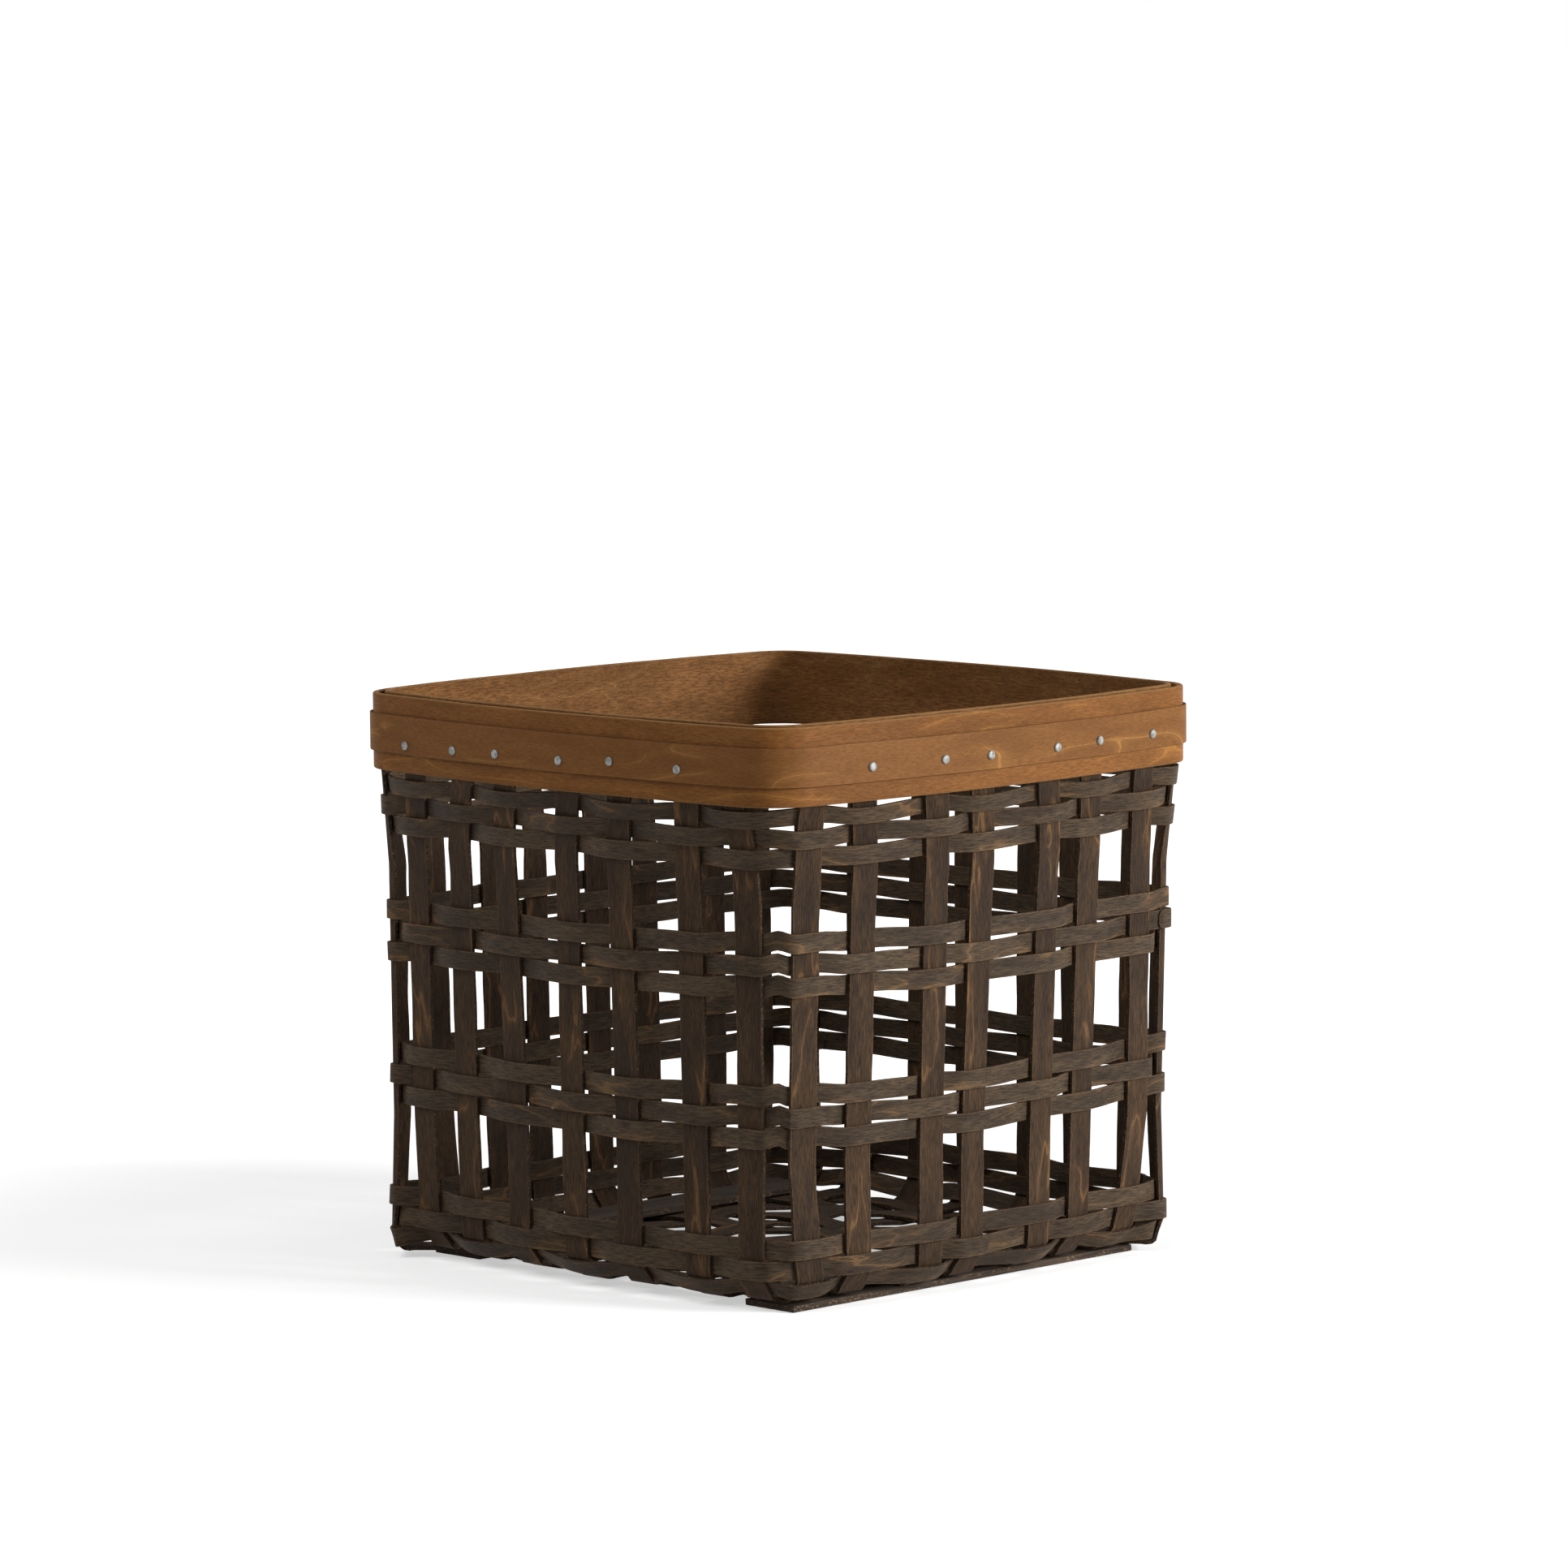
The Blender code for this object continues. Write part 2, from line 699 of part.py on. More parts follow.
tack_places = tack_placings()
tack_holes = add_tack_holes(tack_places, cutters)
for number, ends in enumerate(front_pairs):
    stations = stake_stations(ends, number, side_pairs, False)
    add_holed_strip(f"front_stake_{number + 1}", stations, stake_thickness, splint_wood)
for number, ends in enumerate(side_pairs):
    stations = stake_stations(ends, number, front_pairs, True)
    add_holed_strip(f"side_stake_{number + 1}", stations, stake_thickness, splint_wood)

# Places round the wall, anticlockwise from the left corner
places = left_ends[:1] + front_ends + [BareCorner("front")]
places += right_ends + back_ends[::-1] + [BareCorner("back")] + left_ends[:0:-1]

for row in range(ROWS):
    add_strip(f"weaver_{row + 1:02d}", ring_stations(places, row), weaver_thickness,
              splint_wood, parts)

for name, depth in (("outer_band", 0), ("inner_band", inner_band_depth)):
    stations = band_stations(depth + band_thickness / 2, band_bottom, band_height)
    add_holed_strip(name, stations, band_thickness, band_wood)
trim_stations = band_stations(-seat_gap - trim_thickness / 2, trim_middle - trim_height / 2,
                              trim_height)
add_holed_strip("trim_strip", trim_stations, trim_thickness, trim_wood)

tack = tack_mesh(trim_thickness + 2 * seat_gap + inner_band_depth + band_thickness)
for number, placing in enumerate(tack_places):
    pin = add_mesh(f"tack_{number + 1:02d}", tack, tack_metal, parts)
    pin.matrix_world = placing

for name, side in (("left", -1), ("right", 1)):
    add_board(f"{name}_runner", side * runner_place, runner_width, runner_length,
              runner_thickness, 0, board_wood)
    add_board(f"{name}_slat", side * slat_place, slat_width, slat_length,
              slat_thickness, slat_bottom, board_wood)
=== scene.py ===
"""Looks of the open square basket woven from flat wood splints, with a nailed double rim band.

Frame: +Z up, origin on the floor at the centre of the base. The -Y side is the front and the
+X side is the right. Lengths are in metres.
"""

import math

import bmesh
import bpy
from mathutils import Matrix, Vector, noise


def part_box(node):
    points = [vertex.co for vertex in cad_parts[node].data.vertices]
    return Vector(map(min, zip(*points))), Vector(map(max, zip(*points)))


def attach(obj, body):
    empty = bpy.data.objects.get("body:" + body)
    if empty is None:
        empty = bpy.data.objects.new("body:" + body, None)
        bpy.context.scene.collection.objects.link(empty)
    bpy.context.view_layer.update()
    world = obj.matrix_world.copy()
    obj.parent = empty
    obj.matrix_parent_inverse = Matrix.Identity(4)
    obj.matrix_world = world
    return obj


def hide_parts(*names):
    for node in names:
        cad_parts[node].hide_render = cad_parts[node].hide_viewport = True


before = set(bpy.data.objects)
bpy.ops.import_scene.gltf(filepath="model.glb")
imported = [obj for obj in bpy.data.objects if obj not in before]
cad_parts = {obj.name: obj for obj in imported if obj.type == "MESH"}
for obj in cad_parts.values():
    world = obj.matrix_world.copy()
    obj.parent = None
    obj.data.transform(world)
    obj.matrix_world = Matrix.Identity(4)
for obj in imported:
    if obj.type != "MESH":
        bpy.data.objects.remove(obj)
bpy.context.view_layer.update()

MM = 0.001

# Walls, measured to the middle of the upright stakes, as in the solids
rim_height = 285 * MM
wall_half_width = 144.0 * MM
foot_taper = 2.8 * MM
wall_bow = 12.3 * MM
wall_corner_radius = 17.6 * MM
flare_length = 20 * MM
corner_push = 5.8 * MM

# Corners with a stake: how far each stands out at the waist and at the foot, and how wide the
# stake turns under the base
left_corner_stand_out = (8.4 * MM, 15.4 * MM)
right_corner_stand_out = (5.1 * MM, 10.5 * MM)
left_turn_radius = 37 * MM
right_turn_radius = 30 * MM
left_corner_fold = math.radians(46)
right_corner_fold = math.radians(40)

# Rim, from outside to inside: trim, outer band, slot for the stakes, inner band
band_flare = 14.9 * MM
band_height = 38.1 * MM
band_thickness = 3.0 * MM
band_bow = 12.6 * MM
band_corner_radius = 27.6 * MM
slot_width = 3.0 * MM
trim_height = 19.0 * MM
trim_thickness = 1.3 * MM
trim_drop = 9.6 * MM

# Splints
stake_width = 15.4 * MM
stake_thickness = 1.8 * MM
stake_top_drop = 3 * MM
end_stake_inset = 25.8 * MM
spaces_to_end_stake = 3
weaver_width = 9.2 * MM
weaver_thickness = 1.3 * MM
seat_gap = 0.3 * MM
corner_seat_room = 0.4 * MM
fold_gap = 1.4 * MM
flat_margin = 1.0 * MM
wall_bend_radius = 13 * MM
corner_bend_radius = 6 * MM
weave_bulge = 0.5 * MM
weaver_swell = 0.3 * MM
fold_round = 1.5 * MM
inner_band_rise = 0.8 * MM

# Rounded edges, wear and twists, which the solids don't have
splint_edge_round = 0.22 * MM
stake_edge_wear = 0.22 * MM
weaver_edge_wear = 0.16 * MM
band_edge_round = 0.9 * MM
band_wave = 0.25 * MM
trim_edge_round = 0.3 * MM
trim_wave = 0.35 * MM
board_edge_round = 0.35 * MM
board_wear_reach = 1.5 * MM
board_edge_wear = 1.2 * MM
slow_wear_length = 22 * MM
fast_wear_length = 3 * MM
weaver_twist_length = 45 * MM
stake_twist_angle = math.radians(7)
weaver_twist_angle = math.radians(3)

# Weaver rows: four groups of three, top to bottom
first_group_drop = 16.9 * MM
last_group_height = 20.8 * MM
group_steps = (9.9 * MM, 10.4 * MM, 10.3 * MM, 9.8 * MM)

# Boards under the base
runner_thickness = 3.2 * MM

# Tacks
head_diameter = 4.6 * MM
head_thickness = 0.9 * MM
shank_diameter = 1.5 * MM

# Shares of a wall, of the height under the band, of a corner stake's width, of the way to the
# next stake and of the slower wear
push_start_share = 0.5
waist_share = 0.61
left_leg_share = 0.70
right_leg_share = 0.36
lap_tip_share = 0.72
fast_wear_share = 0.35

# Where a weaver stays outside on one more stake: its row and its place round the wall
doubled_seats = ((3, 16),)

# How many rows above and below the middle of a group its stakes are free to twist
free_rows_above = 1.9
free_rows_below = 1.7

# Groups' heights, rows of a group, the corners' rises and the stakes' places, as shares
group_height_shares = (1.0, 0.693, 0.343, 0.0)
row_place_shares = (1.04, 0.0, -1.0)
corner_rise_shares = (
    (0.10, 0.48, 0.44, 0.05),
    (0.02, 0.21, 0.24, 0.00),
    (0.00, 0.10, 0.10, 0.00),
    (-0.15, -0.10, 0.00, 0.00),
)
front_stake_shares = (
    (-2.68, -2.89, -2.90, -2.78), (-1.71, -2.06, -2.05, -1.98), (-0.88, -1.16, -1.07, -1.04),
    (0.28, -0.01, -0.02, 0.02), (1.16, 0.92, 0.94, 0.96), (2.27, 2.06, 2.06, 2.06),
    (2.98, 2.96, 2.92, 2.85),
)
back_stake_shares = (
    (-2.98, -2.98, -2.95, -2.85), (-2.10, -2.10, -2.08, -2.04), (-1.02, -1.02, -1.03, -1.02),
    (-0.24, -0.24, -0.18, -0.12), (0.91, 0.91, 0.93, 0.94), (1.68, 1.68, 1.80, 1.86),
    (2.90, 2.82, 2.80, 2.76),
)
right_stake_shares = (
    (-3.12, -2.98, -3.01, -2.83), (-2.32, -2.09, -2.17, -2.12), (-1.14, -0.91, -0.97, -0.98),
    (-0.36, -0.12, -0.26, -0.28), (0.84, 1.10, 0.98, 0.94), (1.65, 1.89, 1.78, 1.68),
    (2.72, 2.88, 2.87, 2.50),
)
left_stake_shares = (
    (-2.75, -2.70, -2.67, -2.46), (-1.66, -1.66, -1.66, -1.60),
    (-0.85, -0.85, -0.87, -0.84), (0.25, 0.25, 0.22, 0.24), (1.10, 1.10, 1.08, 1.08),
    (2.25, 2.25, 2.20, 2.14), (3.00, 3.00, 2.98, 2.83),
)

# Drop of each tack below the middle of the trim, as a share of the trim's height
front_tack_drop_shares = (0.26, 0.24, 0.20, 0.20, 0.10, 0.16)
right_tack_drop_shares = (0.12, 0.12, 0.14, 0.14, 0.10, 0.12)

# Where each weaver's lapped ends lie: number of the place round the wall, top row first
lap_places = (19, 27, 22, 29, 16, 20, 26, 18, 23, 30, 11, 21)

# Worked out from the sizes above
foot_half_width = wall_half_width - foot_taper
band_half_width = wall_half_width + band_flare
stake_spacing = (wall_half_width - end_stake_inset) / spaces_to_end_stake
band_bottom = rim_height - band_height
waist_height = band_bottom * waist_share
first_group_height = band_bottom - first_group_drop
group_heights = [last_group_height + (first_group_height - last_group_height) * share
                 for share in group_height_shares]
slot_middle = band_thickness + slot_width / 2
inner_band_depth = band_thickness + slot_width
weave_offset = (stake_thickness + weaver_thickness) / 2 + seat_gap
lattice_offset = (stake_thickness + seat_gap) / 2
lattice_height = runner_thickness + seat_gap + stake_thickness / 2 + lattice_offset
shoulder_height = group_heights[0] - 2 * group_steps[0]
flare_end_height = (shoulder_height + group_heights[1] + 2 * group_steps[1]) / 2
foot_height = group_heights[2] - 2 * group_steps[2]
half_flat = stake_width / 2 + flat_margin
slot_corner_radius = band_corner_radius - slot_middle
fold_bottom = lattice_height + 2 * wall_bend_radius
trim_middle = rim_height - trim_drop - trim_height / 2

WHITE = (1.0, 1.0, 1.0, 1.0)
SIDES = ("front", "right", "back", "left")
ROWS_IN_GROUP = 3
ROWS = ROWS_IN_GROUP * len(group_heights)
BEND_STEPS = 4
TURN_STEPS = 3
STRIP_STEPS = 4
STRIP_SHARES = [step / STRIP_STEPS - 0.5 for step in range(STRIP_STEPS + 1)]
ROW_SPACING = 2.5 * MM
MERGE_DISTANCE = 0.003 * MM
HELD_SPAN = 8 * MM
HELD_REACH = 8 * MM
TIP_SHARES = (0, 0.35, 0.7)
BAND_SIDE_STEPS = 48
BAND_CORNER_STEPS = 24
TACK_STEPS = 28
BOARD_LENGTH_CUTS = 80
BOARD_WIDTH_CUTS = 9


# Shape of the walls

class Plan:
    """A square outline of four long arcs for its sides and four short ones for its corners."""

    def __init__(self, half_width, side_radius, corner_radius):
        self.half_width = half_width
        self.side_radius = side_radius
        self.corner_radius = corner_radius
        centre = half_width - side_radius
        reach = side_radius - corner_radius
        self.corner_centre = (centre + math.sqrt(2 * reach ** 2 - centre ** 2)) / 2
        self.side_angle = math.atan2(self.corner_centre, self.corner_centre - centre)

    def out_at(self, across):
        """Distance of a side from the axis at a place across it."""
        return self.half_width - self.side_radius + math.sqrt(self.side_radius ** 2 - across ** 2)

    def corner_reach(self):
        return self.corner_centre * math.sqrt(2) + self.corner_radius

    def corner_point(self, side, share, depth):
        """Point on the corner that follows a side, at a depth inside the outline."""
        angle = mix(self.side_angle, math.pi / 2 - self.side_angle, share)
        radius = self.corner_radius - depth
        return turned(self.corner_centre + radius * math.cos(angle),
                      self.corner_centre + radius * math.sin(angle), side)

    def side_point(self, side, share, depth):
        """Point on a side, at a depth inside the outline."""
        angle = mix(-self.side_angle, self.side_angle, share)
        radius = self.side_radius - depth
        out = self.half_width - self.side_radius + radius * math.cos(angle)
        return turned(out, radius * math.sin(angle), side)


def turned(out, across, side):
    """Flat point from its distance out and its place across a side, anticlockwise."""
    angle = (SIDES.index(side) - 1) * math.pi / 2
    return Vector((out * math.cos(angle) - across * math.sin(angle),
                   out * math.sin(angle) + across * math.cos(angle), 0))


def middle_of(row):
    return row[len(row) // 2]


def uneven(*place):
    """A smoothly varying value between -1 and 1, the same at the same place each run."""
    return noise.noise(Vector(place))


def mix(low, high, share):
    return low + (high - low) * share


def share_between(value, low, high):
    return min(max((value - low) / (high - low), 0), 1)


def arc_radius(half_width, bow):
    """Radius of a side that bows out by a given rise."""
    return (half_width ** 2 + bow ** 2) / (2 * bow)


def flare_at(height):
    """One inside the band, dying away down the wall."""
    return math.exp(-max(band_bottom - height, 0) / flare_length)


def bend_inset(height, radius):
    """How far the wall has turned in towards the base at a height."""
    drop = min(max(lattice_height + radius - height, 0), radius)
    return radius - math.sqrt(radius ** 2 - drop ** 2)


band_plan = Plan(band_half_width, arc_radius(band_half_width, band_bow), band_corner_radius)


def wall_plan(height):
    """Outline of the wall through the middle of the stakes at a height."""
    flare = flare_at(height)
    straight = mix(foot_half_width, wall_half_width, share_between(height, 0, band_bottom))
    return Plan(mix(straight, band_plan.half_width - slot_middle, flare),
                mix(arc_radius(straight, wall_bow), band_plan.side_radius - slot_middle, flare),
                mix(wall_corner_radius, band_plan.corner_radius - slot_middle, flare))


def wall_point(side, across, height):
    """Point on the wall, which stands out further near the left and right corners."""
    towards_full_corner = across if side in ("right", "left") else -across
    push = share_between(towards_full_corner, wall_half_width * push_start_share, wall_half_width)
    out = wall_plan(height).out_at(across) + corner_push * push * (1 - flare_at(height))
    out -= bend_inset(height, wall_bend_radius)
    return turned(out, across, side) + Vector((0, 0, height))


def group_rise(corner, nearness):
    """Rise of each group of rows, dying away from a corner along its walls."""
    return [share * nearness ** 2 for share in corner_rise_shares[corner]]


def row_height(row, rises):
    group, place = divmod(row, ROWS_IN_GROUP)
    return group_heights[group] + group_steps[group] * (row_place_shares[place] + rises[group])


class StakeEnd:
    """One end of a stake, which stands against a wall."""

    def __init__(self, side, shares):
        self.side = side
        self.sign = 1 if side in ("front", "right") else -1
        self.shares = shares
        self.bend_radius = wall_bend_radius
        across = shares[1] * stake_spacing * self.sign
        corner = SIDES.index(side) if across > 0 else SIDES.index(side) - 1
        self.rises = group_rise(corner, abs(across) / wall_half_width)

    def across_at(self, height):
        rim, shoulder, foot, base = (share * stake_spacing * self.sign for share in self.shares)
        if height >= shoulder_height:
            flare = share_between(flare_at(height), flare_at(shoulder_height), 1)
            return mix(shoulder, rim, flare)
        if height >= foot_height:
            return mix(foot, shoulder, share_between(height, foot_height, shoulder_height))
        lean = 1 - share_between(height, lattice_height, foot_height)
        return mix(foot, base, lean ** 2)

    def point(self, height):
        return wall_point(self.side, self.across_at(height), height)

    def across(self, height):
        """Direction of the stake's width, anticlockwise round the wall."""
        place = self.across_at(height)
        before = wall_point(self.side, place - stake_width / 2, height)
        after = wall_point(self.side, place + stake_width / 2, height)
        return (after - before).normalized()

    def section(self, height, places):
        """Points across the stake at a height, from their distances off its middle line."""
        return [self.point(height) + self.across(height) * place for place in places]

    def seat_places(self, outside):
        """Where a weaver that crosses this stake touches it, off its middle line."""
        return [-half_flat, 0, half_flat]

    def springs(self, outside):
        """How far a weaver springs off the stake at each of those places."""
        return [0, weave_bulge, 0]


class CornerEnd(StakeEnd):
    """One end of a stake that is folded lengthwise round the corner after a side."""

    def __init__(self, side, leg_share, stand_out, fold, turn_radius):
        self.side = side
        self.fold = fold
        self.turn_radius = turn_radius
        self.bend_radius = corner_bend_radius
        self.rises = group_rise(SIDES.index(side), 1)
        self.fold_place = stake_width * (leg_share - 0.5)
        self.waist_stand_out, self.foot_stand_out = stand_out

    def outward(self):
        return turned(1, 1, self.side).normalized()

    def point(self, height):
        foot = wall_plan(0).corner_reach() + self.foot_stand_out
        waist = wall_plan(waist_height).corner_reach() + self.waist_stand_out
        reach = mix(foot, waist, share_between(height, 0, waist_height))
        if height > waist_height:
            reach = mix(waist, wall_plan(rim_height).corner_reach(),
                        share_between(height, waist_height, band_bottom))
        reach -= bend_inset(height, self.bend_radius)
        return self.outward() * reach + Vector((0, 0, height))

    def across(self, height):
        return turned(-1, 1, self.side).normalized()

    def section(self, height, places):
        """Flat on the base, folded up the wall and round as the band inside it."""
        roundness = share_between(height, flare_end_height, band_bottom)
        upright = share_between(height, lattice_height, fold_bottom)
        angle = self.fold * upright * (1 - roundness)
        points = []
        for place in places:
            off_fold = place - self.fold_place
            along = off_fold * math.cos(angle) + self.fold_place * (1 - upright)
            drop = (math.hypot(off_fold, fold_round) - fold_round) * math.sin(angle)
            drop += roundness * off_fold ** 2 / (2 * slot_corner_radius)
            points.append(self.point(height) + self.across(height) * along
                          - self.outward() * drop)
        return points

    def lines(self):
        """Where the stake's lengthwise lines run, closer together at its fold."""
        half = stake_width / 2
        return [mix(self.fold_place, edge, share) for edge, shares in
                ((-half, (1, 0.6, 0.3, 0.12)), (half, (0, 0.12, 0.3, 0.6, 1))) for share in shares]

    def seat_places(self, outside):
        between = self.lines()[1:-1] if outside else [self.fold_place]
        return [-half_flat] + between + [half_flat]

    def springs(self, outside):
        at_fold, at_edge = (-0.2, 1) if outside else (2.5, 0.5)
        return [mix(at_fold, at_edge, min(2 * abs(place - self.fold_place) / stake_width, 1))
                * corner_seat_room for place in self.seat_places(outside)]


class BareCorner:
    """The middle of a corner without a stake, where the weavers only turn."""

    def __init__(self, side):
        self.side = side
        self.bend_radius = wall_bend_radius
        self.rises = group_rise(SIDES.index(side), 1)

    def point(self, height):
        reach = wall_plan(height).corner_reach() - bend_inset(height, self.bend_radius)
        return turned(1, 1, self.side).normalized() * reach + Vector((0, 0, height))

    def section(self, height, places):
        return [self.point(height)]

    def seat_places(self, outside):
        return [0]

    def springs(self, outside):
        return [0]


def knot_heights(place):
    """Heights between which the wall is straight, so that weavers lie flat on it."""
    rows = [row_height(row, place.rises) for row in range(ROWS)]
    first = rows[:ROWS_IN_GROUP]
    last = rows[-ROWS_IN_GROUP:]
    middle_of_last = (last[1] + last[2]) / 2
    bend_top = lattice_height + place.bend_radius
    straight = max(middle_of_last - bend_top, 0)
    turn = math.asin(max(bend_top - middle_of_last, 0) / place.bend_radius)
    turn += (weaver_width + 2 * fold_gap - straight) / place.bend_radius
    return [rim_height - stake_top_drop, band_bottom, (first[0] + first[1]) / 2,
            (first[1] + first[2]) / 2, shoulder_height, flare_end_height, foot_height,
            (last[0] + last[1]) / 2, middle_of_last, bend_top - place.bend_radius * math.sin(turn)]


def row_seats(place, row, outside):
    """Centres of a weaver row on the wall at a place, and the wall's slope at each."""
    heights = knot_heights(place)
    height = row_height(row, place.rises)
    if row == ROWS - 1:
        height = (heights[-1] + heights[-2]) / 2
    for above, below in zip(heights, heights[1:]):
        if above >= height >= below:
            break
    tops = place.section(above, place.seat_places(outside))
    bottoms = place.section(below, place.seat_places(outside))
    share = (height - below) / (above - below)
    return [(bottom.lerp(top, share), (top - bottom).normalized())
            for top, bottom in zip(tops, bottoms)]


def outward_steps(seats):
    """Steps off the wall at each seat, longer at a fold so that its two sides move alike."""
    facings = []
    for (centre, up), (following, _) in zip(seats, seats[1:]):
        facings.append((following - centre).cross(up).normalized())
    if not facings:
        return [Vector()]
    steps = [(one + other) / (1 + one.dot(other)) for one, other in zip(facings, facings[1:])]
    return facings[:1] + steps + facings[-1:]


# Courses of the stakes and weavers

def side_stake_above(front_back, side):
    """Whether the stake from the sides lies on the one from the front at a crossing."""
    at_right_corner = side == len(right_ends) - 1 and front_back == len(front_ends) - 1
    return (front_back + side) % 2 == 1 and not at_right_corner


def base_turn(end, towards):
    """Flat points from the foot of a stake's bend to the start of its run on the base."""
    foot = end.point(lattice_height)
    foot.z = 0
    if not isinstance(end, CornerEnd):
        return [foot]
    heading = -end.outward()
    clockwise = heading.cross(towards).z < 0
    sideways = Vector((heading.y, -heading.x, 0)) * (1 if clockwise else -1)
    start = foot + heading * (wall_bend_radius - end.bend_radius)
    points = []
    for step in range(TURN_STEPS + 1):
        angle = math.pi / 4 * step / TURN_STEPS
        moved = heading * math.sin(angle) + sideways * (1 - math.cos(angle))
        points.append(start + moved * end.turn_radius)
    return points


def base_turns(first, second):
    """Turns at both ends of a stake's run on the base."""
    towards = second.point(lattice_height) - first.point(lattice_height)
    return base_turn(first, towards), base_turn(second, -towards)


def crossing(first_line, second_line):
    """Flat point where two straight runs cross."""
    start = first_line[0]
    along = first_line[1] - start
    other_along = second_line[1] - second_line[0]
    share = (second_line[0] - start).cross(other_along).z / along.cross(other_along).z
    return start + along * share


def straight_run(ends):
    turns = base_turns(*ends)
    return turns[0][-1], turns[1][-1]


def stake_lines(ends, width):
    """Where a stake's lengthwise lines run across it, towards a direction of its width."""
    for end in ends:
        if isinstance(end, CornerEnd):
            sign = 1 if end.across(0).dot(width) > 0 else -1
            return sorted(sign * line for line in end.lines())
    return [stake_width * share for share in STRIP_SHARES]


def stake_stations(ends, number, crossed, from_side):
    """Stations of a stake: down one wall, across the base and up the other wall."""
    turns = base_turns(*ends)
    line = straight_run(ends)
    heading = (line[1] - line[0]).normalized()
    width = Vector((heading.y, -heading.x, 0))
    lines = stake_lines(ends, width)
    flats = []
    for other, other_ends in enumerate(crossed):
        above = (side_stake_above(other, number) if from_side
                 else not side_stake_above(number, other))
        level = lattice_height + (lattice_offset if above else -lattice_offset)
        flats.append(crossing(line, straight_run(other_ends)) + Vector((0, 0, level)))
    flats.sort(key=lambda flat: (flat - line[0]).dot(heading))
    middle = [flat + heading * along for flat in flats for along in (-half_flat, half_flat)]
    stations = wall_stations(ends[0], turns[0], flats[0].z, width, lines)
    for centre in middle[1:-1]:
        stations.append([centre + width * line for line in lines])
    return stations + wall_stations(ends[1], turns[1], flats[-1].z, width, lines)[::-1]


def wall_stations(end, turn, level, base_width, lines):
    """Stations of one end of a stake, from its tip down to the start of its run on the base."""
    heights = knot_heights(end)
    sign = 1 if end.across(heights[-1]).dot(base_width) > 0 else -1
    places = [sign * line for line in lines]
    stations = [end.section(height, places) for height in heights]
    wall_across = end.across(heights[-1]) * sign
    bend_top = lattice_height + end.bend_radius
    lowest_turn = math.asin((bend_top - heights[-1]) / end.bend_radius)
    for step in range(1, BEND_STEPS + 1):
        share = step / BEND_STEPS
        height = bend_top - end.bend_radius * math.sin(mix(lowest_turn, math.pi / 2, share))
        points = end.section(height, places)
        if len(turn) == 1:
            across = wall_across.lerp(base_width, share).normalized()
            points = [end.point(height) + across * line for line in lines]
        lift = Vector((0, 0, (level - lattice_height) * share))
        stations.append([point + lift for point in points])
    for step, flat in list(enumerate(turn))[1:]:
        across = wall_across.lerp(base_width, step / TURN_STEPS).normalized()
        centre = flat + Vector((0, 0, level))
        stations.append([centre + across * line for line in lines])
    return stations


def weaver_seat(number, row, lift=0):
    """Stations of a weaver where it crosses one place of the wall, lifted off by a lap."""
    place = places[number]
    stakes_before = sum(isinstance(other, StakeEnd) for other in places[:number])
    outside = (row + stakes_before) % 2 == 1 or (row, number) in doubled_seats
    sign = 1 if outside else -1
    seats = row_seats(place, row, outside)
    stations = []
    for (centre, up), outward, spring in zip(seats, outward_steps(seats), place.springs(outside)):
        point = centre + outward * sign * (weave_offset + lift + spring)
        stations.append([point + up * ((weaver_width + weaver_swell) * share)
                         for share in STRIP_SHARES])
    return stations


def weaver_stations(row):
    """Stations of a weaver, anticlockwise from its outer lapped end to its inner one."""
    first = lap_places[row]
    count = len(places)
    lap = weaver_thickness + seat_gap / 2
    start = weaver_seat(first, row, lap)
    before = weaver_seat((first - 1) % count, row)[-1]
    tip = [end.lerp(seat, lap_tip_share) for end, seat in zip(before, start[0])]
    stations = [tip] + start
    for number in range(first + 1, first + count + 1):
        stations += weaver_seat(number % count, row)
    return stations + weaver_seat((first + 1) % count, row, lap)


# Pieces

def settle(thing, **settings):
    for setting, value in settings.items():
        setattr(thing, setting, value)


def new_object(name, data):
    thing = bpy.data.objects.new(name, data)
    bpy.context.scene.collection.objects.link(thing)
    return thing


def smooth_rows(stations):
    """Rows of points along a smooth strip that passes through all its stations."""
    middles = [middle_of(station) for station in stations]
    spans = [max((after - before).length, seat_gap) for before, after in zip(middles, middles[1:])]
    rails = list(zip(*stations))
    slopes = [rail_slopes(rail, spans) for rail in rails]
    rows = []
    for number, span in enumerate(spans):
        steps = max(1, round(span / ROW_SPACING))
        for step in range(steps):
            share = step / steps
            rows.append([hermite(rail, slope, number, span, share)
                         for rail, slope in zip(rails, slopes)])
    return rows + [list(stations[-1])]


def held_stations(stations):
    """The stations with two more in each long span, which hold a smooth strip to its chord."""
    held = stations[:1]
    for before, after in zip(stations, stations[1:]):
        span = (middle_of(after) - middle_of(before)).length
        if span > HELD_SPAN:
            reach = min(HELD_REACH / span, 1 / 3)
            for share in (reach, 1 - reach):
                held.append([one.lerp(other, share) for one, other in zip(before, after)])
        held.append(after)
    return held


def rail_slopes(rail, spans):
    """Slope of a rail at each of its points, which leans to the nearer neighbour's."""
    chords = [(after - before) / span for before, after, span in zip(rail, rail[1:], spans)]
    slopes = []
    for number in range(len(rail)):
        if 0 < number < len(rail) - 1:
            before, after = spans[number - 1], spans[number]
            slopes.append((chords[number - 1] * after + chords[number] * before) / (before + after))
        else:
            slopes.append(chords[min(number, len(chords) - 1)])
    return slopes


